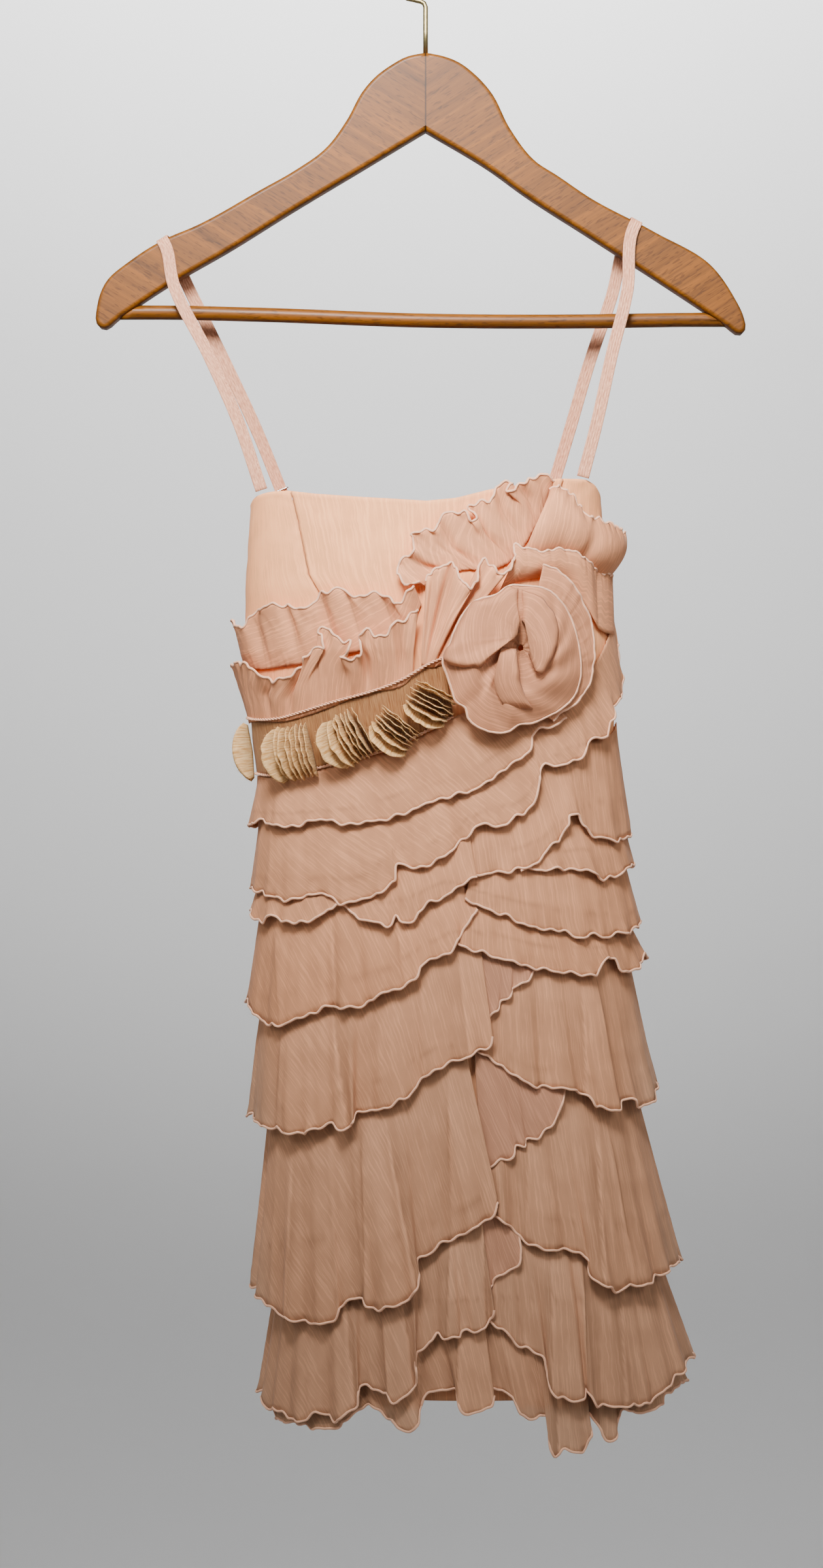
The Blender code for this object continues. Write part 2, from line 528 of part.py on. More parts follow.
def loft(name, lines, surface, levels=HIP, tail=None):
    """A cloth piece from line to line, such as from a ruffle's seam to its hem.

    levels are the rows between two lines, and tail says how the piece goes on round the back of the dress.
    """
    edges = [edge(line) for line in lines]
    shares = shares_along(edges[-1])
    columns = []
    for share, low in zip(shares, edges[-1]):
        columns.append([point_at(line, share) for line in edges[:-1]] + [low])
    if tail:
        from_side = lines[-1][0][0] in (LEFT, RIGHT)
        extra = back_columns(columns[0] if from_side else columns[-1], tail)
        columns = extra[::-1] + columns if from_side else columns + extra
    walls = []
    for column in columns:
        wall = [place(*column[0])]
        for top, low in zip(column, column[1:]):
            for level in levels[1:]:
                turn, down, _ = mix(top, low, level)
                out = top[2] + (low[2] - top[2]) * level ** BOW
                wall.append(place(turn, down, out))
        walls.append(wall)
    return cloth(name, walls, surface)


def back_columns(last, tail):
    """A ruffle's columns from the side seam to the middle of the back, with even waves.

    tail is the seam's and the hem's height at the middle of the back, the waves, and how far they swing.
    """
    seam_level, hem_level, waves, swing = tail
    side = math.copysign(1.0, last[0][0])
    steps = waves * 4
    columns = []
    for step in range(1, steps + 1):
        share = step / steps
        turn = side * (SIDE_TURN + (BACK_TURN - SIDE_TURN) * share)
        wave = math.sin(math.tau * waves * share)
        seam = (turn, last[0][1] + (seam_level - last[0][1]) * share, last[0][2])
        hem_down = last[-1][1] + (hem_level - last[-1][1]) * share
        hem = (turn, hem_down + 0.5 * swing * wave, last[-1][2] + swing * wave)
        columns.append([seam, hem])
    return columns


def neck(turn):
    """How far down the neckline lies at a turn round the dress."""
    if abs(turn) <= SIDE_TURN:
        rows = [(turn_at(across, down, PANEL_OUT), down) for across, down in NECKLINE]
        return between(rows, turn)[0]
    side_level = NECKLINE[0][1] if turn < 0 else NECKLINE[-1][1]
    share = min(1.0, (abs(turn) - SIDE_TURN) / NECK_EASE)
    return side_level + (BACK_NECK - side_level) * share


def princess(side):
    """The turn of the seam beside the front's middle panel, at a height."""
    def turn(down):
        _, _, shift = between(TUBE, down)
        across = shift + side * between(PRINCESS_SEAM, down)[0]
        return turn_at(across, down, PANEL_OUT)
    return turn


def fixed(turn):
    """A seam that keeps its turn at every height."""
    return lambda down: turn


def bodice_panel(name, start, end, count, surface):
    """A bodice panel between two seams, from the neckline to the waist."""

    def turn(down, share):
        return start(down) + SEAM_TURN + (end(down) - start(down) - 2 * SEAM_TURN) * share

    columns = []
    for step in range(count + 1):
        share = step / count
        top = neck(turn(NECKLINE[0][1], share))
        levels = (top, *BODICE_LEVELS)
        columns.append([place(turn(level, share), level, PANEL_OUT) for level in levels])
    return cloth(name, columns, surface, PANEL_WALL)


def slip_half(name, start, surface):
    """Half of the underskirt, from the waist to its hem."""
    columns = []
    for step in range(SLIP_COLUMNS + 1):
        turn = start + SEAM_TURN + (math.pi - 2 * SEAM_TURN) * step / SLIP_COLUMNS
        columns.append([place(turn, level, PANEL_OUT) for level in SLIP_LEVELS])
    return cloth(name, columns, surface, PANEL_WALL)


def sweep(name, path, section, across, surface, ring=False):
    """A bar, wire or band: a section of (across, outward) offsets carried along a path of points."""
    bm = bmesh.new()
    loops = []
    count = len(path)
    for index, spot in enumerate(path):
        before = path[index - 1] if ring or index else spot
        after = path[(index + 1) % count] if ring or index < count - 1 else spot
        along = (after - before).normalized()
        side = (across - along * across.dot(along)).normalized()
        outward = along.cross(side)
        loops.append([bm.verts.new((spot + side * a + outward * b) * MM) for a, b in section])
    pairs = list(zip(loops, loops[1:]))
    if ring:
        pairs.append((loops[-1], loops[0]))
    else:
        bm.faces.new(loops[0])
        bm.faces.new(loops[-1])
    for first, second in pairs:
        for corner in range(len(section)):
            following = (corner + 1) % len(section)
            bm.faces.new((first[corner], first[following], second[following], second[corner]))
    return add_object(name, bm, surface)


def circle(radius, sides):
    """The corners of a round section."""
    angles = [math.tau * side / sides for side in range(sides)]
    return [(radius * math.cos(angle), radius * math.sin(angle)) for angle in angles]


def hanging(across, down, back=0.0):
    """A point of the hanger or a strap, in millimetres."""
    return Vector((across, back, RING_CENTRE - down))


def make_hook(surface):
    """The wire hook: a straight stem out of the wood and a ring that is open on the right."""
    path = [hanging(across, down) for across, down in STEM]
    for degrees in range(HOOK_START, HOOK_END - 1, -HOOK_STEP):
        angle = math.radians(degrees)
        path.append(hanging(HOOK_RADIUS * math.cos(angle), -HOOK_RADIUS * math.sin(angle)))
    sweep("hanger_hook", path, circle(WIRE_RADIUS, 8), Vector((0, 1, 0)), surface)


def make_arm(name, outline, surface):
    """One wooden arm: its outline as a board with rounded edges."""
    bm = bmesh.new()
    half = ARM_THICKNESS / 2
    front = [bm.verts.new(hanging(across, down, -half) * MM) for across, down in outline]
    back = [bm.verts.new(hanging(across, down, half) * MM) for across, down in outline]
    bm.faces.new(front)
    bm.faces.new(back[::-1])
    for index in range(len(outline)):
        following = (index + 1) % len(outline)
        bm.faces.new((front[index], front[following], back[following], back[index]))
    bmesh.ops.recalc_face_normals(bm, faces=bm.faces)
    rims = [e for e in bm.edges if abs(e.verts[0].co.y - e.verts[1].co.y) < half * MM]
    joint = GAP * MM
    rims = [e for e in rims if max(abs(v.co.x) for v in e.verts) > joint]
    bmesh.ops.bevel(bm, geom=rims, offset=ARM_EDGE * MM, segments=2, profile=0.5, affect="EDGES")
    add_object(name, bm, surface)


def make_bar(surface):
    """The round bar, each end cut along the underside of its arm."""
    path = [hanging(across, down) for across, down in BAR]
    beyond = Vector((BAR_SPARE, 0, 0))
    path = [path[0] - beyond] + path + [path[-1] + beyond]
    made = sweep("hanger_bar", path, circle(BAR_RADIUS, 10), Vector((0, 1, 0)), surface)
    for vertex in made.data.vertices:
        for side, ((x0, d0), (x1, d1)) in zip((-1, 1), ARM_UNDERSIDES):
            if side * vertex.co.x > (BAR[-1][0] + BAR_SPARE / 2) * MM:
                down = RING_CENTRE - vertex.co.z / MM
                across = x0 + (x1 - x0) * (down - d0) / (d1 - d0)
                vertex.co.x = (across - side * BAR_END_GAP) * MM


def strap_path(name):
    """A strap's middle line: up the front, over the arm and down the back."""
    (across, down, slope), front, back = STRAPS[name]
    lean = math.atan(slope)
    lift = Vector((math.sin(lean), 0, math.cos(lean)))
    clear = ARM_CLEAR + STRAP_WALL / 2
    corner = ARM_THICKNESS / 2 - ARM_EDGE
    over = []
    for degrees in (0, 45, 90, 90, 135, 180):
        angle = math.radians(degrees)
        rise = (ARM_EDGE + clear) * math.sin(angle) - ARM_EDGE
        sign = -1 if len(over) < 3 else 1
        depth = sign * corner - (ARM_EDGE + clear) * math.cos(angle)
        shift = math.copysign(STRAP_SKEW, -across) * depth
        over.append(hanging(across + shift, down + slope * shift, depth) + lift * rise)
    runs = []
    for points, sign in ((front, -1), (back, 1)):
        end_across, end_down = points[-1]
        turn = turn_at(end_across, end_down, PANEL_OUT)
        end_depth = abs(place(turn, end_down, PANEL_OUT).y) / MM
        edge_depth = corner + ARM_EDGE + clear
        run = []
        for point in points:
            share = (point[1] - down) / (end_down - down)
            depth = sign * (edge_depth + (end_depth - edge_depth) * share)
            run.append(hanging(*point, depth))
        runs.append(run)
    return runs[0][::-1] + over + runs[1]


def rectangle(width, thickness):
    """The corners of a flat band's section."""
    return [(-width / 2, -thickness / 2), (width / 2, -thickness / 2),
            (width / 2, thickness / 2), (-width / 2, thickness / 2)]


def make_strap(name, surface):
    """A flat strap that loops over the arm."""
    slope = STRAPS[name][0][2]
    across = Vector((1, 0, -slope)).normalized()
    sweep(name, strap_path(name), rectangle(STRAP_WIDTH, STRAP_WALL), across, surface)


def make_ring(name, surface):
    """A small metal loop round the back run of a strap."""
    strap, level = RINGS[name]
    path = strap_path(strap)
    top, low = path[-2], path[-1]
    share = (level - (RING_CENTRE - top.z)) / (top.z - low.z)
    middle = top + (low - top) * share
    along = (low - top).normalized()
    slope = STRAPS[strap][0][2]
    side = Vector((1, 0, -slope))
    side = (side - along * side.dot(along)).normalized()
    outward = along.cross(side)
    half_width = STRAP_WIDTH / 2 + RING_WIRE + GAP
    half_depth = STRAP_WALL / 2 + RING_WIRE + GAP
    corners = [(-1, -1), (0, -RING_SWELL), (1, -1), (RING_SWELL, 0),
               (1, 1), (0, RING_SWELL), (-1, 1), (-RING_SWELL, 0)]
    loop = [middle + side * (half_width * a) + outward * (half_depth * b) for a, b in corners]
    sweep(name, loop, circle(RING_WIRE, 6), along, surface, ring=True)


def cluster(name, turn, down, width, height, petals, tilt, first_lean, last_lean, surface):
    """A cluster of folded half-round petals that stand out from the ribbon like the pages of a book."""
    middle = place(turn, down, PETAL_ROOT)
    right = (place(turn + SMALL_TURN, down, PETAL_ROOT) - middle).normalized()
    fall = (place(turn, down + 1.0, PETAL_ROOT) - middle).normalized()
    outward = fall.cross(right).normalized()
    angle = math.radians(tilt)
    spread = right * math.cos(angle) - fall * math.sin(angle)
    length = right * math.sin(angle) + fall * math.cos(angle)
    columns = []
    for index in range(2 * petals + 1):
        share = index / (2 * petals)
        lean = first_lean + (last_lean - first_lean) * share
        base = width * (share - 0.5)
        curve = base * base / (2 * WAIST_ROUND)
        is_fold = index % 2
        column = []
        for along in (-1.0, -0.5, 0.0, 0.5, 1.0):
            bulge = is_fold * math.sqrt(1 - PETAL_ROUND * along * along)
            reach = PETAL_REACH * bulge - curve + PETAL_LIFT * abs(along)
            spot = spread * (base + lean * bulge) + length * (along * height / 2) + outward * reach
            column.append(middle + spot * MM)
        columns.append(column)
    cloth(name, columns, surface, PETAL_WALL)


def make_hanger():
    """The hook, the two arms and the bar."""
    brass = material("antique brass wire", (0.26, 0.20, 0.07), 0.35, 1.0)
    beech = material("varnished beech", (0.42, 0.19, 0.07), 0.38)
    make_hook(brass)
    make_arm("hanger_arm_left", ARM_LEFT, beech)
    make_arm("hanger_arm_right", ARM_RIGHT, beech)
    make_bar(beech)


def make_foundation():
    """The bodice panels, the underskirt, the straps and their rings, and the waist ribbon."""
    blush = material("crinkled chiffon", (0.78, 0.52, 0.38), 0.75)
    lining = material("plain lining", (0.72, 0.45, 0.34), 0.6)
    webbing = material("corded strap", (0.60, 0.36, 0.24), 0.65)
    silver = material("silver ring", (0.8, 0.8, 0.8), 0.2, 1.0)
    satin = material("raw silk ribbon", (0.40, 0.23, 0.13), 0.6)
    bodice_panel("bodice_front", princess(-1), princess(1), 12, blush)
    bodice_panel("bodice_side_left", fixed(-SIDE_TURN), princess(-1), 5, blush)
    bodice_panel("bodice_side_right", princess(1), fixed(SIDE_TURN), 5, blush)
    bodice_panel("bodice_back_left", fixed(-math.pi), fixed(-SIDE_TURN), 10, blush)
    bodice_panel("bodice_back_right", fixed(SIDE_TURN), fixed(math.pi), 10, blush)
    slip_half("slip_front", -SIDE_TURN, lining)
    slip_half("slip_back", SIDE_TURN, lining)
    for name in STRAPS:
        make_strap(name, webbing)
    for name in RINGS:
        make_ring(name, silver)
    loft("ribbon", RIBBON, satin, levels=FLAT, tail=(518, 555, 3, 0.0))


def make_petals():
    """The petal clusters along the ribbon, the first one on the left side."""
    silk = material("frayed silk petals", (0.72, 0.50, 0.26), 0.7)
    for name, across, down, *shape in CLUSTERS:
        cluster(name, turn_at(across, down, PETAL_ROOT), down, *shape, silk)


def make_bust():
    """The two standing frills, the shoulder ruffle, the puff, the gathered band and the fan of the bust."""
    blush = material("bust chiffon", (0.68, 0.43, 0.33), 0.75)
    for name, levels, lines in BUST:
        loft(name, lines, blush, levels=levels)


def make_rosette():
    """The rosette: a cupped bowl of cloth, its back flounce, and the petals folded over its heart."""
    blush = material("rosette chiffon", (0.66, 0.41, 0.31), 0.75)
    columns = []
    for across, down, out in BOWL_EDGE:
        column = []
        for share, rise in (*BOWL_RISE, (1.0, out)):
            spot = mix((*BOWL_MIDDLE, 0.0), (across, down, 0.0), share)
            column.append(place(turn_at(spot[0], spot[1], rise), spot[1], rise))
        columns.append(column)
    cloth("rosette_bowl", columns, blush, ring=True)
    for name, levels, lines in FOLDED:
        loft(name, lines, blush, levels=levels)


def make_tiers():
    """The nine rows of skirt ruffles, from the hip to the hem."""
    blush = material("skirt chiffon", (0.60, 0.38, 0.28), 0.8)
    for name, levels, tail, seam, hem in TIERS:
        loft(name, [seam, hem], blush, levels=levels, tail=tail)


def main():
    for old in list(bpy.data.objects):
        bpy.data.objects.remove(old)
    make_hanger()
    make_foundation()
    make_petals()
    make_bust()
    make_rosette()
    make_tiers()


main()
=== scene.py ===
"""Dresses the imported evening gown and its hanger: crinkled chiffon, rolled hems, frayed silk petals, beech.

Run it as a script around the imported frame. Sizes in the tables are millimetres on the dress: across from
the middle, down from the centre of the hook's ring, and out from the plain tube that carries the cloth.
"""
import math
import random

import bmesh
import bpy
import numpy as np
from bpy.props import FloatProperty, FloatVectorProperty, IntProperty, PointerProperty
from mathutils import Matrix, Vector


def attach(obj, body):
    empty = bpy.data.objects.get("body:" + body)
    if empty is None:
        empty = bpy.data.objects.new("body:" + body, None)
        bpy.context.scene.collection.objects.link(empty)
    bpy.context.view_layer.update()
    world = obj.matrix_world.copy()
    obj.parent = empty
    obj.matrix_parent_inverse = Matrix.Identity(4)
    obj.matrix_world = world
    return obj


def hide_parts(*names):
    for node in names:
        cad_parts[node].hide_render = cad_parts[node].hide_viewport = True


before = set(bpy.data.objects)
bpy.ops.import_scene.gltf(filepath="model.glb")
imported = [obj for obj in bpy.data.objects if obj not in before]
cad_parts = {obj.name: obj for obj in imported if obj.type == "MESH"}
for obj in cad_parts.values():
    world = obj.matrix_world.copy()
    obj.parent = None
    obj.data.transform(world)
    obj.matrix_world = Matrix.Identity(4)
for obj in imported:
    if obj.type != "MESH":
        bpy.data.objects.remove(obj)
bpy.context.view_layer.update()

bl_info = {
    "name": "Ruffled evening gown",
    "version": (1, 0, 0),
    "blender": (4, 5, 0),
    "location": "3D View > Sidebar > Gown",
    "description": "Builds the gown's cloth, trims and hanger around the packed part",
    "category": "Object",
}

MM = 0.001

# The hanger, as in the part. HOOK_START and HOOK_END are degrees round the hook's ring.
WIRE_RADIUS = 1.7
HOOK_RADIUS = 25.0
HOOK_START = 240
HOOK_END = -30
RING_CENTRE = WIRE_RADIUS - HOOK_RADIUS  # the height from which the tables count down
ARM_THICKNESS = 14.0
ARM_EDGE = 3.0  # rounding of the arms' edges
ARM_STEP = 4.0  # length of a step along an arm's outline
GAP = 0.35  # the open joint between the arms, and a loop's play round its strap
JOINT_SHARE = 0.15  # the share of that joint which the drawn arms leave open
BAR_RADIUS = 5.0
BAR_SPARE = 30.0  # by how much the bar is too long at each end, before it is cut
BAR_END_GAP = 0.56  # air between its cut end and the arm

# The hook's stem, from the wood up into the ring: across, down.
STEM = [(0, 59.65), (0, 45), (0, 31), (0, 27.6), (-1.0, 25.0), (-3.4, 23.7)]

# The straps and their wire loops, as in the part.
STRAP_WIDTH = 8.6
STRAP_WALL = 1.1
STRAP_STEP = 2.0
STRAP_CORDS = 5
CORD_RELIEF = 0.16
ARM_CLEAR = 0.9  # air between a strap and the wood
STRAP_SKEW = 0.1  # how far a strap slants for each millimetre over the arm
RING_WIRE = 0.6
STITCH_PLACE = 0.36  # the stitches' distance from the middle, as a share of the width
STITCH_THREAD = 0.00022  # radius in metres

# The dress, as in the part. Turns are radians round it, from 0 at the middle of the front.
PANEL_OUT = -1.4
SIDE_TURN = math.pi / 2
BACK_TURN = math.pi - 0.02
NECK_EASE = math.radians(30)
BACK_NECK = 374.0
BODICE_END = 541.0
SLIP_END = 974.0
BOW = 1.15  # the power by which a ruffle bows outwards on its way down

# The plain tube that carries everything: down, half width, half depth, sideways shift.
TUBE = [
    (350, 120, 52, 0),
    (428, 126, 65, 1),
    (473, 127, 66, 2),
    (563, 123, 55, 9),
    (743, 124, 62, 15),
    (923, 126, 65, 29),
    (1010, 129, 66, 33),
]

# In the tables below a row is one crest, valley or turn of an edge: across from the middle, down, out.
# LEFT and RIGHT stand for the side of the dress, whatever its width there. A row without its out lies at
# SEAM_OUT, as most seams do.
LEFT = -1000
RIGHT = 1000
SEAM_OUT = 0.5

# The front neckline: across, down. It runs on round the back at BACK_NECK.
NECKLINE = [
    (LEFT, 363), (-113, 364), (-94, 364), (-76, 367), (-45, 370), (0, 373), (21, 371), (43, 365),
    (54, 363), (88, 356), (109, 355), (RIGHT, 358),
]

# The seam between the front's middle and its side panels: down, distance from the middle.
PRINCESS_SEAM = [(350, 95), (386, 87), (422, 80), (438, 71), (541, 60)]

# The hanger's arms: name, slope of the grain, outline from the joint round the tip and back: across, down.
ARMS = [
    ("hanger_arm_left", -0.55, [
        (-GAP / 2, 60), (-14, 63), (-23, 68), (-34, 76), (-43, 86), (-54, 106), (-68, 125), (-90, 141),
        (-113, 154), (-158, 179), (-179, 188), (-203, 203), (-220, 218), (-226, 236), (-226, 247),
        (-222, 250), (-210, 242), (-175, 219), (-135, 196), (-90, 168), (-45, 141), (-GAP / 2, 114),
    ]),
    ("hanger_arm_right", 0.57, [
        (GAP / 2, 60), (11, 62), (22, 66), (33, 74), (45, 87), (58, 112), (76, 135), (90, 144), (112, 159),
        (157, 183), (198, 208), (212, 228), (219, 243), (220, 251), (217, 254), (207, 248), (195, 240),
        (157, 215), (112, 186), (67, 157), (45, 141), (GAP / 2, 114),
    ]),
]

# The bar's sag: across, down. Its ends are cut along the arms' undersides.
BAR = [(-180, 238), (-113, 239.5), (0, 243.5), (113, 244), (180, 243)]
ARM_UNDERSIDES = [((-210, 242), (-175, 219)), ((195, 240), (157, 215))]

# Where each strap crosses its arm: across, down, slope of the arm's top; then its two runs: across, down.
STRAPS = {
    "strap_left": (
        (-180, 188.6, -0.6),
        [(-173, 219), (-148, 270), (-128, 315), (-112, 362.1)],
        [(-164, 219), (-139, 270), (-118, 315), (-95, 372.0)],
    ),
    "strap_right": (
        (144, 176.2, 0.54),
        [(138, 225), (127, 270), (117, 315), (107, 353.6)],
        [(129, 225), (114, 270), (101, 315), (84, 372.2)],
    ),
}
RINGS = {"ring_left": ("strap_left", 357.0), "ring_right": ("strap_right", 350.0)}

# The petal clusters on the ribbon: name, across, down, width, height, petals, tilt, first and last lean.
CLUSTERS = [
    ("petals_1", LEFT, 540, 12, 39, 2, 0, -3, 3),
    ("petals_2", -86, 541, 26, 37, 7, 8, -9, 2),
    ("petals_3", -49, 531, 22, 34, 7, 25, -11, 2),
    ("petals_4", -20, 526, 18, 30, 6, 50, -8, 2),
    ("petals_5", 3, 508, 20, 30, 6, 62, -8, 2),
]
PETAL_REACH = 15.0
PETAL_ROOT = 2.2  # how far out a petal is sewn down
PETAL_CLOTH = 0.0004  # the silk's thickness in metres
FRAY_THREAD = 0.00008  # radius of a loose thread in metres
PETAL_ROUND = 0.92  # how much a petal's ends are rounded off
PETAL_LIFT = 1.2
LEAVES_PER_PETAL = 1.2
LEAN_FIRST = (1.6, 5)  # how the first and the last lean spread over the leaves: factor, power
LEAN_LAST = (1.5, 2)
SMALL_TURN = 0.001
WAIST_ROUND = 240.0

# The ribbon round the waist: its upper and lower edge.
RIBBON = [
    [(LEFT, 518), (-93, 518), (-66, 510), (-14, 493), (1, 484), (12, 479)],
    [(LEFT, 555), (-89, 555), (-58, 548), (-23, 538), (4, 525), (18, 517)],
]

# The bust's ruffles: name, sewing (rows of cloth, the edges that are hemmed, grain, curl and its length,
# fold swing), lines from the seam to the free edge.
BUST = [
    ("frill_lower", (22, ("low",), (8, 8), 1.1, 15, 0.45), [
        [(LEFT, 521, 2), (-112, 520, 2), (-93, 520, 2), (-66, 512, 2), (-40, 502, 2), (-14, 496, 2),
         (-9, 491, 2)],
        [(LEFT, 481, 9), (-120, 483, 9.5), (-112, 489, 10.5), (-104, 493, 11.5), (-93, 491, 10.5),
         (-84, 484, 10), (-78, 475, 9), (-72, 469, 9), (-70, 461, 10.5), (-64, 461, 12), (-58, 468, 11.5),
         (-53, 475, 11), (-48, 478, 12), (-44, 473, 12.5), (-42, 464, 11.5), (-38, 461, 11.5),
         (-33, 465, 11.5), (-26, 463, 10.5), (-22, 457, 10), (-14, 453, 10), (-5, 447, 9.4)],
    ]),
    ("frill_upper", (20, ("low",), (80, 80), 1.1, 17, 0.35), [
        [(LEFT, 482), (-111, 485), (-84, 482), (-57, 477), (-31, 470), (-12, 460), (-3, 443)],
        [(LEFT, 450, 7), (-121, 452, 7.6), (-118, 448, 6.6), (-111, 444, 7.4), (-98, 442, 8.6),
         (-95, 442, 7.6), (-91, 444, 6.4), (-75, 441, 6), (-72, 437, 5.6), (-66, 434, 7.6), (-57, 433, 8.4),
         (-51, 436, 7.8), (-46, 438, 6), (-36, 436, 6.8), (-27, 437, 7), (-23, 440, 6.4), (-21, 444, 6),
         (-17, 441, 6.4), (-12, 435, 6.4), (-8, 431, 6.2)],
    ]),
    ("frill_shoulder", (20, ("low",), (20, 50), 1.1, 14, 0.4), [
        [(1, 432, 0.6), (12, 425, 0.6), (25, 420, 0.6), (41, 420, 0.6), (55, 415, 0.6), (65, 404, 0.6),
         (75, 387, 0.6), (82, 370, 0.6)],
        [(-4, 429, 7), (-14, 429, 8.4), (-19, 423, 8), (-17, 414, 7.5), (-8, 408, 7.5), (-9, 400, 7),
         (-10, 396, 7), (-3, 394, 7.5), (6, 393, 8), (10, 385, 8.5), (21, 381, 8.5), (27, 383, 9),
         (31, 387, 9.6), (33, 381, 9), (35, 376, 8), (42, 374, 8), (46, 368, 8), (50, 362, 8), (54, 362, 9),
         (58, 365, 10), (62, 363, 9.6), (70, 358, 8.4), (81, 355, 7.6), (87, 358, 6)],
    ]),
    ("puff_right", (24, ("top",), (8, 8), 1.4, 12, 0.4), [
        [(84, 365, 5), (89, 362, 8), (97, 367, 9), (108, 380, 9.4), (120, 384, 10.5), (RIGHT, 391, 12)],
        [(74, 388, 9), (83, 388, 13), (96, 391, 14), (109, 397, 14), (121, 403, 13), (RIGHT, 403, 13)],
        [(66, 408, 2.4), (76, 410, 1.2), (88, 410, 0.6), (105, 414, 0.6), (116, 419, 0.6),
         (RIGHT, 420, 0.6)],
    ]),
    ("band_right", (16, ("top",), (84, 84), 0.8, 15, 0.4), [
        [(59, 411, 8), (60, 403, 9.4), (66, 405, 9), (78, 407, 9.6), (91, 405, 10), (105, 409, 10),
         (116, 415, 9.4), (RIGHT, 420, 9.4)],
        [(54, 423, 8), (65, 417, 9), (73, 417, 9), (85, 416, 9), (96, 417, 9), (109, 424, 9), (120, 432, 9),
         (RIGHT, 441, 8.6)],
        [(49, 434, 1.6), (60, 428), (71, 425), (82, 424), (94, 429), (105, 439, 2.5), (116, 452, 6),
         (RIGHT, 461, 7.4)],
    ]),
    ("fan_centre", (22, ("low",), (0, 0), 1, 12, 0.6), [
        [(-3, 484, 2.1), (0, 485, 2.1), (3, 485, 2.1), (5, 485, 2.1), (8, 484, 2.1), (11, 483, 2.1)],
        [(0, 428, 7.5), (4, 421, 8), (12, 418, 8), (17, 415, 8.4), (23, 416, 9.6), (26, 420, 11),
         (26, 426, 14), (29, 432, 15.5), (32, 429, 15), (35, 419, 12), (39, 415, 11), (43, 418, 13),
         (48, 423, 14.5), (53, 419, 14), (57, 412, 11.5)],
    ]),
]

# The rosette's bowl runs from its heart to this edge, clockwise from the top.
BOWL_MIDDLE = (63.0, 472.0)
BOWL_EDGE = [
    (64, 431, 15), (82, 434, 15), (90, 441, 14), (96, 450, 13.5), (100, 461, 13), (103, 475, 12.5),
    (103, 493, 12.5), (99, 504, 12.5), (91, 512, 12.5), (80, 518, 12.5), (71, 522, 12.5), (62, 523, 13),
    (54, 528, 14), (43, 528, 14), (35, 525, 14), (28, 519, 13.5), (26, 512, 13), (20, 508, 13),
    (17, 500, 13), (14, 491, 13), (11, 482, 13), (15, 472, 13), (19, 461, 14), (24, 451, 15),
    (32, 442, 15.5), (47, 437, 16), (56, 431, 16),
]

# The bowl's depth from its heart to its brim: share of the way to the edge, out.
BOWL_RISE = [(0.04, 11.0), (0.34, 14.5), (0.62, 18.5)]

# The pieces folded round the rosette: name, lines from the inner to the outer edge.
FOLDED = [
    ("rosette_flounce", [
        [(74, 434, 13.4), (84, 439, 13.2), (92, 449, 12.3), (97, 459, 11.6), (99, 471, 11.2), (99, 485, 11),
         (98, 497, 11), (93, 506, 11), (86, 512, 11), (77, 516, 11)],
        [(78, 417, 12.5), (85, 418, 12.5), (92, 423, 12.5), (100, 431, 12.5), (106, 442, 11),
         (111, 453, 10), (113, 466, 10), (113, 479, 10), (111, 492, 10), (106, 502, 10), (100, 509, 10),
         (93, 513, 10), (85, 520, 9.2)],
    ]),
    ("rosette_petal_left", [
        [(62, 455, 20.8), (61, 460, 20.8), (60, 464, 21.3), (57, 467, 21.8), (54, 469, 22.3)],
        [(62, 433, 20), (55, 432, 20.5), (47, 438, 21), (31, 443, 20.5), (24, 453, 20), (17, 468, 19.5),
         (12, 481, 19.5), (21, 485, 21.5), (37, 485, 23)],
    ]),
    ("rosette_petal_right", [
        [(65, 455, 20), (66, 460, 21), (67, 465, 21.5), (68, 471, 22), (69, 476, 22.5)],
        [(65, 434, 20), (75, 437, 21), (84, 445, 21.5), (89, 455, 22), (89, 469, 22.5), (84, 481, 23),
         (78, 490, 23.5), (74, 488, 24.5)],
    ]),
    ("rosette_loop", [
        [(50, 472, 19), (47, 483, 21), (45, 496, 21), (48, 505, 20.4), (52, 512, 19.2)],
        [(61, 473, 21), (62, 483, 24), (64, 496, 23.4), (68, 506, 21.4), (73, 513, 19)],
    ]),
]

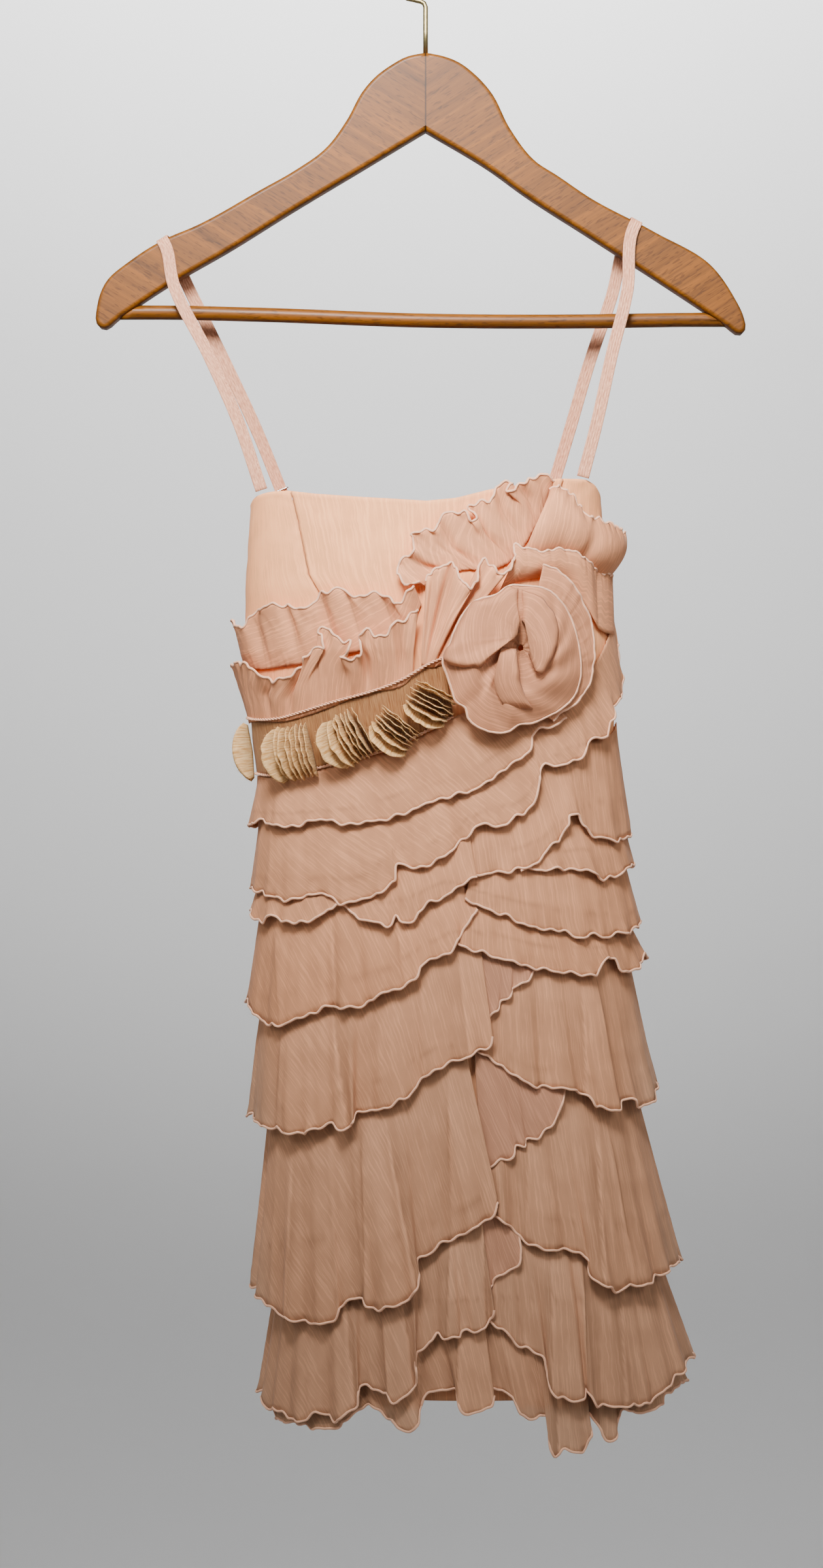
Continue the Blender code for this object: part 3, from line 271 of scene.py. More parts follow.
# The skirt's ruffles from the hip down: name, rows of cloth, tail round the back (seam level and hem level
# at the middle of the back, waves, how far they swing), how far the grain leans from the left to the right
# end, rows whose seams show through as painted shade, seam, hem.
TIERS = [
    ("tier_1", 16, (557, 592, 3, 2.0), (50, 50, 8), ["tier_2"], [
        (LEFT, 557), (-89, 557), (-58, 550), (-23, 540), (4, 527), (21, 517), (47, 510), (83, 502),
    ], [
        (LEFT, 591, 8), (-111, 588, 5), (-100, 591, 6.5), (-84, 590, 6.5), (-71, 586, 5.5), (-58, 589, 6.5),
        (-45, 589, 6.5), (-33, 587, 5.5), (-22, 585, 6.5), (-5, 578, 6.5), (11, 572, 6), (24, 569, 6.5),
        (37, 564, 6.5), (52, 553, 6), (65, 544, 6.5), (71, 536, 6.5), (73, 527, 7), (85, 524, 6.5),
        (95, 518, 6),
    ]),
    ("tier_2", 16, (581, 634, 3, 2.0), (50, 50, 8), ["tier_3_left", "tier_3_right"], [
        (LEFT, 581), (-89, 582), (-45, 578), (-1, 564), (43, 545), (78, 518), (103, 497), (119, 474),
        (RIGHT, 441),
    ], [
        (LEFT, 634, 7), (-107, 638, 6), (-93, 641, 7), (-80, 638, 6), (-68, 636, 5.5), (-59, 642, 7),
        (-47, 641, 8), (-33, 636, 8), (-21, 627, 8), (-19, 616, 6), (-12, 618, 7), (1, 617, 8),
        (14, 609, 7.5), (25, 600, 6.5), (39, 589, 7), (44, 591, 7), (60, 585, 7), (72, 576, 7),
        (75, 565, 7), (79, 551, 7), (87, 550, 7), (105, 544, 7), (110, 535, 7), (124, 528, 7),
        (127, 515, 6.5), (RIGHT, 491, 5), (RIGHT, 466, 4),
    ]),
    ("tier_3_left", 16, (623, 649, 3, 2.0), (50, 50, 5), ["tier_5_left"], [
        (28, 590, 3.2), (4, 602, 2), (-18, 606, 0.9), (-40, 624), (-67, 626), (-98, 627), (LEFT, 623),
    ], [
        (34, 624, 9.5), (24, 629, 8.5), (17, 635, 8), (-1, 644, 8), (-4, 647, 8.5), (-9, 654, 9),
        (-16, 655, 8.5), (-20, 651, 6.5), (-23, 655, 7.5), (-26, 657, 9), (-36, 654, 8), (-46, 652, 6.5),
        (-53, 646, 5.5), (-59, 643, 5), (-66, 648, 7), (-75, 653, 8), (-86, 656, 8), (-97, 655, 8),
        (-104, 652, 7), (-111, 656, 8), (LEFT, 649, 8),
    ]),
    ("tier_3_right", 16, (557, 597, 3, 2.0), (0, 0), ["tier_4_upper"], [
        (RIGHT, 520), (122, 531), (108, 534), (79, 547), (61, 574), (39, 580), (23, 588),
    ], [
        (RIGHT, 597, 7), (123, 600, 7.5), (113, 597, 7), (106, 590, 8), (102, 583, 9), (97, 583, 9),
        (95, 591, 8), (91, 598, 6.5), (83, 605, 6.5), (76, 614, 6.5), (65, 619, 6), (52, 621, 5.8),
        (39, 623, 5.8), (26, 622, 5.8),
    ]),
    ("tier_4_upper", 16, (581, 634, 3, 2.0), (0, 0), ["tier_4_lower"], [
        (58, 606, 1.5), (74, 600, 1.2), (92, 585, 0.9), (110, 576, 0.6), (RIGHT, 572),
    ], [
        (63, 620, 4.3), (78, 620, 5), (100, 620, 6), (109, 621, 7.5), (115, 624, 8), (121, 627, 7),
        (127, 626, 7.5), (134, 622, 8), (RIGHT, 617, 8.5),
    ]),
    ("tier_4_lower", 16, (623, 657, 3, 2.0), (0, 0), ["tier_5_right"], [
        (29, 625, 3.2), (43, 616, 1.4), (56, 612), (74, 609, 0.4), (101, 607, 0.4), (124, 605, 0.4),
        (RIGHT, 601),
    ], [
        (26, 639, 5.6), (31, 642, 6), (38, 645, 6.4), (52, 650, 6.4), (65, 656, 6.5), (78, 660, 6.5),
        (92, 661, 6.5), (99, 665, 7.5), (109, 665, 8.4), (115, 664, 8), (121, 667, 8.8), (128, 664, 8.6),
        (135, 664, 9.6), (RIGHT, 657, 12),
    ]),
    ("tier_5_left", 16, (640, 700, 3, 3.0), (50, 50, 5), ["tier_6_left"], [
        (31, 635, 2), (17, 628, 1.8), (-5, 636, 0.8), (-27, 642), (-53, 635), (-89, 642), (LEFT, 637),
    ], [
        (34, 646, 3.4), (31, 651, 5.4), (24, 661, 8.2), (21, 668, 9.4), (17, 673, 9.4), (8, 678, 9),
        (0, 681, 8), (-4, 685, 8.5), (-5, 689, 10), (-9, 694, 10), (-23, 700, 9.4), (-36, 706, 9),
        (-44, 711, 9), (-57, 712, 10), (-61, 711, 7.5), (-65, 712, 7), (-75, 716, 7.5), (-89, 722, 8.5),
        (-100, 726, 9), (-111, 724, 9), (LEFT, 712, 12),
    ]),
    ("tier_5_right", 16, (640, 700, 3, 3.0), (0, 0), ["tier_6_right"], [
        (RIGHT, 649), (124, 651), (87, 647), (56, 640), (30, 633, 0.3), (19, 629, 0.3),
    ], [
        (RIGHT, 680, 14), (138, 690, 10), (131, 688, 8.6), (127, 681, 8), (123, 679, 8), (119, 683, 7.5),
        (116, 690, 7.5), (109, 691, 7.5), (100, 690, 7.5), (87, 688, 7), (74, 686, 7), (60, 682, 8),
        (47, 678, 8), (34, 674, 7.4), (23, 670, 6.8), (16, 666, 6.2),
    ]),
    ("tier_6_fold", 16, None, (30, 10), [], [
        (76, 680, 3.6), (60, 673, 2.9), (43, 667, 2.3), (29, 664, 1.8),
    ], [
        (74, 687, 4.6), (66, 695, 5.4), (58, 699, 5), (56, 705, 6), (50, 707, 5), (48, 713, 6),
        (41, 719, 5.4), (28, 726, 5),
    ]),
    ("tier_6_left", 24, (690, 785, 4, 4.0), (52, 50, 5), ["tier_7_left"], [
        (36, 667, 3.6), (21, 661, 2.6), (-1, 671, 1), (-23, 685), (-49, 694), (-75, 700), (-103, 709),
        (LEFT, 698),
    ], [
        (44, 730, 9), (43, 736, 9.5), (36, 740, 9), (21, 746, 8.5), (4, 754, 8.5), (-3, 759, 8),
        (-9, 767, 8.5), (-22, 776, 9), (-38, 781, 8), (-46, 782, 6.6), (-48, 787, 12.5), (-51, 792, 13),
        (-57, 793, 11.5), (-62, 789, 9), (-66, 791, 10.5), (-75, 794, 11), (-86, 798, 12), (-100, 796, 12),
        (-111, 795, 12), (LEFT, 790, 13.5),
    ]),
    ("tier_6_right", 24, (690, 785, 4, 4.0), (0, 0), ["tier_7_right"], [
        (RIGHT, 664), (133, 670), (110, 673), (87, 672), (65, 669), (43, 663, 0.4), (29, 661, 0.3),
    ], [
        (RIGHT, 767, 17), (142, 779, 14), (137, 775, 12), (132, 778, 12), (129, 781, 13), (120, 781, 12.5),
        (113, 778, 10.5), (108, 773, 9), (100, 768, 8.5), (93, 766, 8), (78, 765, 7.5), (65, 761, 7),
        (58, 756, 6), (51, 751, 5.4), (43, 746, 4.4), (36, 741, 3.8), (28, 737, 3.4),
    ]),
    ("tier_7_fold", 16, None, (30, 10), [], [
        (96, 759, 3.6), (74, 755, 3.4), (56, 747, 2.6), (42, 737, 1.7), (32, 732, 1.5),
    ], [
        (94, 767, 5), (90, 778, 6), (87, 786, 6.4), (78, 796, 6.4), (71, 799, 7), (67, 800, 5.8),
        (66, 805, 7), (60, 803, 5.8), (58, 810, 6.4), (49, 814, 5.6), (37, 819, 5),
    ]),
    ("tier_7_left", 24, (770, 900, 4, 5.0), (52, 50, 5), ["tier_8_left"], [
        (26, 737, 3.6), (12, 737, 2.6), (-5, 745, 1), (-27, 759), (-49, 768), (-75, 778), (-98, 783),
        (LEFT, 779),
    ], [
        (48, 840, 10), (46, 847, 10), (38, 853, 9.5), (27, 860, 9), (17, 865, 9), (8, 869, 9),
        (1, 875, 9.5), (-4, 877, 9.5), (-5, 892, 17), (-7, 899, 17), (-18, 907, 16.5), (-31, 911, 15.5),
        (-40, 910, 14.5), (-42, 906, 11.5), (-49, 906, 11), (-56, 911, 12), (-58, 916, 15), (-64, 921, 17),
        (-73, 924, 17), (-84, 923, 16.5), (-98, 922, 16.5), (-107, 917, 17), (LEFT, 908, 18),
    ]),
    ("tier_7_right", 24, (770, 900, 4, 5.0), (0, 0), ["tier_8_right"], [
        (RIGHT, 756), (133, 760), (112, 760), (91, 756), (65, 750), (45, 735, 0.4), (34, 729, 0.3),
    ], [
        (RIGHT, 888, 21), (158, 895, 20), (149, 898, 18.5), (139, 900, 16.5), (135, 898, 15.5),
        (130, 902, 17), (124, 901, 17), (116, 896, 16), (111, 892, 14.6), (110, 885, 13), (108, 880, 11),
        (104, 877, 9.5), (100, 875, 8.6), (86, 873, 8), (73, 871, 7.6), (64, 865, 6.6), (58, 859, 5.8),
        (51, 854, 5.6), (45, 849, 5), (37, 844, 4.4),
    ]),
    ("tier_8_fold", 16, None, (30, 10), [], [
        (63, 858, 3.6), (54, 851, 3), (43, 842, 2.4), (33, 838, 2.2),
    ], [
        (62, 864, 5), (63, 874, 6.4), (62, 881, 6.6), (58, 885, 6.2), (51, 889, 5.6), (45, 891, 6.6),
        (44, 896, 6.6), (41, 901, 6.6), (33, 906, 6.4),
    ]),
    ("tier_8_left", 24, (865, 975, 4, 5.0), (52, 50, 5), ["tier_9_left"], [
        (35, 838, 3.6), (17, 849, 2.6), (-5, 859, 1), (-27, 865), (-49, 866), (-76, 871), (-99, 877),
        (LEFT, 873),
    ], [
        (45, 911, 10), (43, 918, 10), (37, 924, 9.5), (33, 926, 10), (27, 924, 8), (23, 926, 8.6),
        (22, 929, 10.5), (17, 930, 11), (11, 929, 10.5), (8, 927, 8.6), (4, 932, 9), (-2, 937, 9.8),
        (-5, 939, 9.8), (-6, 955, 16), (-9, 963, 16.5), (-16, 970, 17), (-22, 971, 16.5), (-26, 967, 15),
        (-29, 966, 12.5), (-35, 966, 12), (-40, 962, 11.6), (-43, 963, 11.6), (-45, 970, 16.5),
        (-46, 974, 17), (-53, 983, 17), (-61, 988, 17), (-66, 984, 15.5), (-75, 985, 15.5), (-84, 991, 17),
        (-92, 990, 16.5), (-98, 987, 15.5), (-107, 988, 16), (LEFT, 980, 16),
    ]),
    ("tier_8_right", 24, (865, 975, 4, 5.0), (0, 0), ["tier_9_right"], [
        (RIGHT, 855), (137, 859), (114, 858), (91, 855), (65, 847), (47, 836, 0.4), (36, 831, 0.3),
    ], [
        (RIGHT, 955, 24), (172, 962, 24), (158, 972, 22), (152, 977, 21), (144, 978, 20.5), (130, 977, 20),
        (121, 977, 20.5), (112, 974, 20), (107, 966, 17.5), (105, 965, 13.5), (103, 970, 17.5),
        (91, 970, 19), (83, 965, 16.5), (81, 957, 13), (79, 949, 10.4), (76, 942, 9.2), (69, 939, 8.4),
        (62, 936, 7.4), (54, 928, 6.4), (44, 921, 5.4), (35, 916, 4.6),
    ]),
    ("tier_9_left", 24, (912, 985, 4, 4.0), (30, 30, 5), [], [
        (36, 904, 1.7), (17, 906, 1.5), (-23, 905, 0.7), (-67, 908), (-99, 916), (LEFT, 914),
    ], [
        (45, 969, 7), (43, 974, 10), (37, 978, 11.5), (29, 979, 12), (23, 977, 11.5), (21, 970, 9),
        (20, 965, 5), (9, 966, 4.4), (-1, 970, 4.6), (-4, 979, 8), (-5, 988, 11), (-14, 992, 12),
        (-21, 988, 11), (-23, 985, 8), (-27, 983, 6), (-32, 980, 5), (-40, 977, 5.6), (-43, 979, 7),
        (-47, 982, 8.5), (-55, 990, 9.6), (-66, 995, 9.6), (-82, 995, 9), (-94, 995, 9), (-104, 995, 9),
        (LEFT, 989, 10),
    ]),
    ("tier_9_right", 24, (912, 985, 4, 4.0), (0, 0), [], [
        (RIGHT, 909), (123, 906), (91, 906), (60, 905), (36, 902, 0.3), (26, 902, 0.2),
    ], [
        (RIGHT, 973, 18), (170, 973, 17), (158, 981, 16), (144, 985, 15), (132, 982, 11), (127, 988, 9.6),
        (126, 998, 11), (122, 1002, 11.5), (117, 997, 11), (113, 989, 8), (109, 984, 6.4), (107, 998, 11),
        (106, 1004, 12.5), (100, 1007, 13.5), (91, 1004, 12.5), (85, 1009, 13), (82, 1003, 12),
        (80, 983, 7), (76, 983, 5.6), (73, 985, 7), (64, 982, 7), (59, 974, 5.6), (54, 967, 4),
        (46, 965, 2.8), (36, 964, 1.2),
    ]),
]

# How finely the cloth is drawn: steps between a table's points, millimetres between columns, and counts.
FINE_STEPS = 14
CLOTH_STEP = 1.35
BACK_COLUMNS = 96
WRAP_COLUMNS = 12
PANEL_COLUMNS = 66
PANEL_ROWS = 64
SLIP_COLUMNS = 90
SLIP_ROWS = 80
RIBBON_ROWS = 16
BOWL_COLUMNS = 340
BOWL_ROWS = 34
FOLDED_ROWS = 14
PETAL_COLUMNS = 17
PETAL_ROWS = 8
TURN_REACH = 125.0  # how long a radian of turn counts while an edge is rounded
AT_SIDE = 0.01  # radians within which a column lies on the side seam

# A piece tucked away round the right side: radians on round it, and its stand-off there.
SIDE_WRAP = 0.24
SIDE_OUT = 0.6

# The bodice: its corners' dip at the sides, its seams, the puckers beside them, its top edge and slow waves.
CORNER_TURN = 0.55
CORNER_DROP = 8.0
SEAM_INSET = 0.001
SEAM_TURN = 0.0006
SEAM_DIP = 0.55
SEAM_WIDTH = 1.1
PUCKER_REACH = 7.0
PUCKER_LENGTH = 8.0
EDGE_ROLL = (0.35, 1.2)  # height of the folded top edge, and how far down it lies
EDGE_DROP = (0.5, 0.6)
PANEL_WAVE = (0.16, 23.0)  # height and length of the slow waves
SLIP_WAVE = (0.5, 46.0)
SLIP_TAPER = 0.45

# The ribbon's waves, its stand-off and where the cord lies at its upper and lower row: down, out.
RIBBON_WAVE = (0.25, 31.0)
RIBBON_OUT = 0.3
RIBBON_TAIL = (518, 555, 3, 0.0)  # as a tier's
CORD_LIFTS = {0: (-0.8, 2.4), -1: (0.4, 1.0)}
CORD_TURNS = 190.0  # per metre

# A ruffle's folds, the flutes that grow towards its hem, its gathers and its curled edge.
FOLD_LENGTHS = (13.0, 7.0)
FLUTE_SHARE = 0.018  # a flute's height for each millimetre of the ruffle's depth
FLUTE_LENGTH = 30.0
FLUTE_RISE = 0.6
FLUTE_SPAN = 26.0
GATHER_SWING = 0.4
GATHER_LENGTH = 4.2
GATHER_FADE = 7.0
EDGE_CURL = 9.0
HEM_WOBBLE = 0.0007  # metres by which the thread's roll wanders
ROLL_ENDS = 6.0  # how far from its ends and its edge a folded piece rolls inwards
ROLL_EDGE = 5.0

# Marks that the cloth's material reads, from 0 to 1: the shade mark darkens it with painted shade, the
# highlight mark brightens it with a painted highlight, and the veil mark greys and pales it: painted shade
# lower down the skirt, and the pale room painted in where the cloth is thin.
# Painted shade in the hem's valleys, along the seam of the row behind, in creases and along gathered seams.
VALLEY_SHADE = 0.4
VALLEY_DEPTH = 3.0
SEAM_SHADOW = 0.9
CREASE_SHADE = 0.8
CREASE_WIDTH = 0.9
ROOT_SHADE = 0.7
ROOT_FADE = 5.0
# Width of the painted highlight along a hemmed free edge.
HIGHLIGHT_WIDTH = 2.5
# The painted veil of the lower tiers: painted shade lower down the skirt, kept in part on turned-over folds,
# mixing towards this greyer tint.
PAINTED_VEILS = {"tier_6": 0.25, "tier_7": 0.5, "tier_8": 0.7, "tier_9": 0.6}
FOLD_PAINTED_VEIL = 0.3  # the share of its tier's veil that a turned-over fold keeps
PAINTED_VEIL_TINT = "#A9957F"

# The pleats of the rosette's bowl: their number, unevenness, slant and height, and the roll of its petals.
PETAL_ROLL = 3.2
PLEATS = 11
PLEAT_WANDER = 1.1
PLEAT_SLANT = 0.2
PLEAT_HEIGHT = 0.8

# Where a vertical tuck pinches a frill: across, at its free edge.
TUCKS = {
    "frill_lower": (-106, -84, -45, -18),
    "frill_upper": (-118, -96, -71, -54, -30),
    "frill_shoulder": (-14, 8, 31, 47, 62),
    "fan_centre": (18, 36),
    "puff_right": (103,),
}
TUCK_DEPTH = 3.2
TUCK_WIDTH = 4.0

# Soft laps that run up from a tier's hem: across at the seam, across at the hem, and how far the cloth steps
# out there. Above 0 the right side lies in front, below 0 the left side.
LAPS = {
    "tier_3_left": [(-78, -70, -1.0)],
    "tier_5_left": [(-64, -59, -1.2), (-104, -98, 0.9), (-22, -14, 0.9)],
    "tier_5_right": [(96, 100, 1.0), (118, 124, -1.0)],
    "tier_6_left": [(-64, -52, -2.0), (20, 28, 1.2), (-96, -103, 1.0)],
    "tier_6_right": [(104, 106, 1.5), (111, 129, -1.8), (74, 78, 0.9)],
    "tier_7_left": [(-43, -41, 1.6), (-31, -6, -2.4), (14, 17, 1.4), (-88, -92, -1.1)],
    "tier_7_right": [(114, 116, 2.0), (116, 141, -2.0), (70, 66, 1.0)],
    "tier_8_left": [(-57, -47, -2.2), (-32, -25, 1.5), (-20, -8, -2.0), (16, 14, 1.6), (37, 40, -1.6)],
    "tier_8_right": [(83, 83, 2.0), (104, 106, -2.0), (130, 131, 1.6)],
    "tier_9_left": [(-20, -20, 1.6), (-4, -4, -1.6), (21, 21, 1.8), (44, 45, -1.8)],
    "tier_9_right": [(86, 87, 1.8), (107, 108, -1.8), (110, 112, 1.5), (128, 129, -1.5)],
}
LAPS_BEHIND = [
    (-96, -100, 1.4), (-70, -64, -1.4), (-34, -38, 1.6), (-6, 2, -1.6), (30, 27, 1.5), (66, 74, -1.5),
    (98, 102, 1.2),
]
# A lap's painted shade and painted highlight: full from this height on, and the painted shade's reach and
# depth below.
LAP_FULL = 1.8  # the height from which a lap is as dark and as bright as it gets
LAP_REACH = 16.0
LAP_EDGE = 1.6
LAP_SHADE = 9.0
LAP_SHADE_DEPTH = 0.8
FRONT_TURN = 1.5  # the front's laps end before the side, and the back's begin after it
BEHIND_TURN = 1.7

# A band that lies close again towards its end: from how far across, over how much, the share that goes.
CLOSED_IN = {"band_right": (102.0, 20.0, 0.8)}

# Free edges that curl back on themselves: from and to which row of its edge a ruffle takes these instead.
CURLED = {
    "frill_lower": (6, 17, [
        (-78, 475, 9.5), (-73, 472, 10), (-68, 472, 11), (-69, 466, 10), (-72, 460, 9), (-68, 458, 10),
        (-64, 460, 11), (-59, 466, 12), (-50, 469, 13), (-52, 475, 14), (-57, 478, 13), (-48, 480, 11),
        (-43, 475, 12), (-45, 465, 12), (-40, 460, 11), (-33, 465, 11),
    ]),
    "frill_shoulder": (12, 21, [
        (31, 388, 9.6), (34, 385, 9), (28, 378, 8), (33, 375, 8), (42, 374, 8), (46, 368, 8), (50, 362, 8),
        (58, 360, 9), (54, 367, 10), (61, 364, 9.6),
    ]),
    "fan_centre": (4, 15, [
        (21, 423, 10), (24, 428, 12), (29, 433, 14.5), (34, 427, 15.5), (35, 418, 13.5), (39, 414, 12),
        (44, 418, 13), (49, 424, 14.5), (55, 420, 14), (59, 411, 11.5),
    ]),
}

# The stage in metres and degrees: the floor's level, reach, rise and wall, the camera, the room's light, and
# each lamp's name, place, aim, width, beam and watts.
FLOOR_LEVEL = -2.4
FLOOR_REACH = 3.2
COVE = 3.0
WALL_TOP = 7.0
CAMERA_SPOT = (-0.009675, -2.0, -0.58595)
CAMERA_LENS = 66.67
WORLD_LIGHT = 0.07
WORLD_TINT = "#F6F4F2"
LIGHTS = [
    ("ceiling light", (-0.15, -0.95, 0.4), (0.0, 0.0, -0.18), 0.5, 66.0, 7.0),
    ("window light", (-1.6, -1.9, 0.9), (0.0, 0.0, -0.12), 1.0, 60.0, 2.6),
    ("soft fill", (1.7, -2.0, 0.9), (0.0, 0.0, -0.12), 1.2, 60.0, 2.8),
    ("wall wash", (0.0, 2.6, 4.2), (0.0, 6.2, 3.4), 1.6, 110.0, 420.0),
    ("back fill", (0.6, 2.2, 0.9), (0.0, 0.0, -0.5), 1.6, 180.0, 16.0),
]


# Plain numbers and lines of points.


def linear(text):
    """An sRGB hex colour as the linear red, green, blue and alpha that a shader takes."""
    values = [int(text[place:place + 2], 16) / 255 for place in (1, 3, 5)]
    return (*(v / 12.92 if v <= 0.04045 else ((v + 0.055) / 1.055) ** 2.4 for v in values), 1.0)


def waver(along, length, seed):
    """An uneven wave of about this length along a line, from about -1 to 1 and the same on each run."""
    dice = random.Random(seed)
    total = 0.0
    for stretch in (0.71, 1.0, 1.43):
        total = total + np.sin(math.tau * (along / (length * stretch) + dice.random()))
    return total / 2.0


def tube(down):
    """Half width, half depth and sideways shift of the tube that carries the cloth."""
    rows = np.array(TUBE, float)
    return [np.interp(down, rows[:, 0], rows[:, column]) for column in (1, 2, 3)]


def spots(turn, down, out):
    """Points in metres at turns round the dress: 0 is the middle front, minus a quarter the left side."""
    width, depth, shift = tube(down)
    across = shift + (width + out) * np.sin(turn)
    back = -(depth + out) * np.cos(turn)
    return np.stack([across, back, RING_CENTRE - down + 0 * turn], axis=-1) * MM


def turns(across, down, out):
    """The turns at which the front of the dress is this far across."""
    width, _, shift = tube(down)
    return np.arcsin(np.clip((across - shift) / (width + out), -1.0, 1.0))


def steps_along(line):
    """How far along a line of points each one lies."""
    return np.r_[0.0, np.cumsum(np.linalg.norm(np.diff(line, axis=0), axis=1))]


def rounded(knots, fine=FINE_STEPS):
    """A smooth curve through a few points, with its slope at each one taken from its neighbours."""
    reach = steps_along(knots)
    slopes = np.gradient(knots, reach, axis=0)
    at = np.linspace(0.0, reach[-1], fine * (len(knots) - 1) + 1)
    low = np.clip(np.searchsorted(reach, at, side="right") - 1, 0, len(reach) - 2)
    span = reach[low + 1] - reach[low]
    s = ((at - reach[low]) / span)[:, None]
    span = span[:, None]
    first = (1 + 2 * s) * (1 - s) ** 2 * knots[low] + s * (1 - s) ** 2 * span * slopes[low]
    second = s * s * (3 - 2 * s) * knots[low + 1] + s * s * (s - 1) * span * slopes[low + 1]
    return first + second


def evenly(line, count, measure=None):
    """The same line through evenly spaced points."""
    reach = steps_along(line if measure is None else measure)
    at = np.linspace(0.0, reach[-1], count)
    return np.stack([np.interp(at, reach, column) for column in line.T], axis=-1)


def edge_curve(rows):
    """A table of across, down and out as a smooth curve of turn, down and out."""
    rows = np.array([(*row, SEAM_OUT)[:3] for row in rows], float)
    turn = turns(rows[:, 0], rows[:, 1], rows[:, 2])
    line = rounded(np.stack([turn * TURN_REACH, rows[:, 1], rows[:, 2]], axis=-1))
    line[:, 0] = np.clip(line[:, 0] / TURN_REACH, -SIDE_TURN, SIDE_TURN)
    return line


def on_dress(line):
    """A curve of turn, down and out as points in metres."""
    return spots(line[..., 0], line[..., 1], line[..., 2])


def back_columns(last, tail):
    """A ruffle's columns from its side seam to the middle of the back, with even waves."""
    seam_level, hem_level, waves, swing = tail
    side = math.copysign(1.0, last[0][0])
    share = np.arange(1, BACK_COLUMNS + 1) / BACK_COLUMNS
    turn = side * (SIDE_TURN + (BACK_TURN - SIDE_TURN) * share)
    wave = swing * np.sin(math.tau * waves * share)
    seam_down = last[0][1] + (seam_level - last[0][1]) * share
    hem_down = last[-1][1] + (hem_level - last[-1][1]) * share
    seam = np.stack([turn, seam_down, last[0][2] + 0 * share], axis=-1)
    hem = np.stack([turn, hem_down + 0.5 * wave, last[-1][2] + wave], axis=-1)
    return np.stack([seam, hem], axis=1)


def round_side(last):
    """The last few columns of a piece that is tucked away round the right side."""
    share = np.linspace(0.0, 1.0, WRAP_COLUMNS + 1)[1:, None]
    turn = last[None, :, 0] + SIDE_WRAP * share
    out = last[None, :, 2] + (SIDE_OUT - last[None, :, 2]) * share ** 1.6
    return np.stack(np.broadcast_arrays(turn, last[None, :, 1] + 0 * share, out), axis=-1)


def lay_out(lines, tail):
    """Columns from line to line, from left to right and on round the back as the tail says."""
    curves = [edge_curve(line) for line in lines]
    if curves[-1][0][0] > curves[-1][-1][0]:
        curves = [line[::-1] for line in curves]
    count = int(max(steps_along(on_dress(line))[-1] for line in curves) / (CLOTH_STEP * MM)) + 2
    front = np.stack([evenly(line, count, on_dress(line)) for line in curves], axis=1)
    if not tail:
        wrapped = front[-1][-1][0] > SIDE_TURN - AT_SIDE
        return np.concatenate([front, round_side(front[-1])]) if wrapped else front
    if front[0][-1][0] <= -SIDE_TURN + AT_SIDE:
        return np.concatenate([back_columns(front[0], tail)[::-1], front])
    return np.concatenate([front, back_columns(front[-1], tail)])


def rows_between(columns, rows):
    """Rows of cloth in each column: two lines bow apart, and three are joined by one smooth curve."""
    level = np.linspace(0.0, 1.0, rows + 1)
    top, low = columns[:, 0, None, :], columns[:, -1, None, :]
    s = level[None, :, None]
    if columns.shape[1] == 2:
        filled = top + (low - top) * s
        hem, seam = columns[:, 1, 2], columns[:, 0, 2]
        calm = eased(hem)
        filled[..., 2] = seam[:, None] + (calm - seam)[:, None] * level ** BOW
        filled[..., 2] += (hem - calm)[:, None] * level ** FLUTE_RISE
        return filled
    middle = columns[:, 1, None, :]
    return 2 * (s - 0.5) * (s - 1) * top - 4 * s * (s - 1) * middle + 2 * s * (s - 0.5) * low


def eased(hem):
    """The hem's stand-off without its flutes: its mean over a hand's width along it."""
    reach = int(FLUTE_SPAN / CLOTH_STEP)
    padded = np.pad(hem, reach, mode="edge")
    return np.convolve(padded, np.ones(2 * reach + 1) / (2 * reach + 1), mode="valid")


def distances(points, axis):
    """How far each point of a cloth lies along it from its first row (axis 1) or column (axis 0)."""
    first = points[:, :1] if axis else points[:1]
    return np.cumsum(np.linalg.norm(np.diff(points, axis=axis, prepend=first), axis=2), axis=axis)


def flat_cut(points, grain=(0.0, 0.0)):
    """Each point's place on the flat cut in metres, with the threads along its second axis.

    grain is how far the threads lean to the right on the way down, in degrees, at the left and right end.
    """
    along = steps_along(points[:, points.shape[1] // 2])
    lean = -np.radians(np.interp(along / along[-1], np.linspace(0, 1, len(grain)), grain))
    step = np.diff(along, prepend=0.0)
    seam = np.cumsum(np.stack([step * np.cos(lean), -step * np.sin(lean)], axis=-1), axis=0)
    normal = np.stack([np.sin(lean), np.cos(lean)], axis=-1)
    return seam[:, None, :] + distances(points, 1)[..., None] * normal[:, None, :]


def painted_show_through(filled, under):
    """Painted shade, darker along the seam of the next row behind it and below that seam."""
    painted_shade_and_cloud = np.zeros(filled.shape[:2])
    for name in under:
        seam = edge_curve(next(row[5] for row in TIERS if row[0] == name))
        seam = seam[np.argsort(seam[:, 0])]
        below = filled[..., 1] - np.interp(filled[..., 0], seam[:, 0], seam[:, 1])
        inside = (filled[..., 0] >= seam[0, 0] - AT_SIDE) & (filled[..., 0] <= seam[-1, 0] + AT_SIDE)
        line = 0.8 * np.exp(-(below / SEAM_SHADOW) ** 2)
        painted_shade_and_cloud = np.maximum(painted_shade_and_cloud, np.where(inside, line + 0.3 / (1 + np.exp(-below)), 0.0))
    return painted_shade_and_cloud


# Meshes, and what they stand for.


def link(name, mesh):
    """Puts a mesh into the scene at the origin under a name."""
    made = bpy.data.objects.new(name, mesh)
    bpy.context.collection.objects.link(made)
    return made


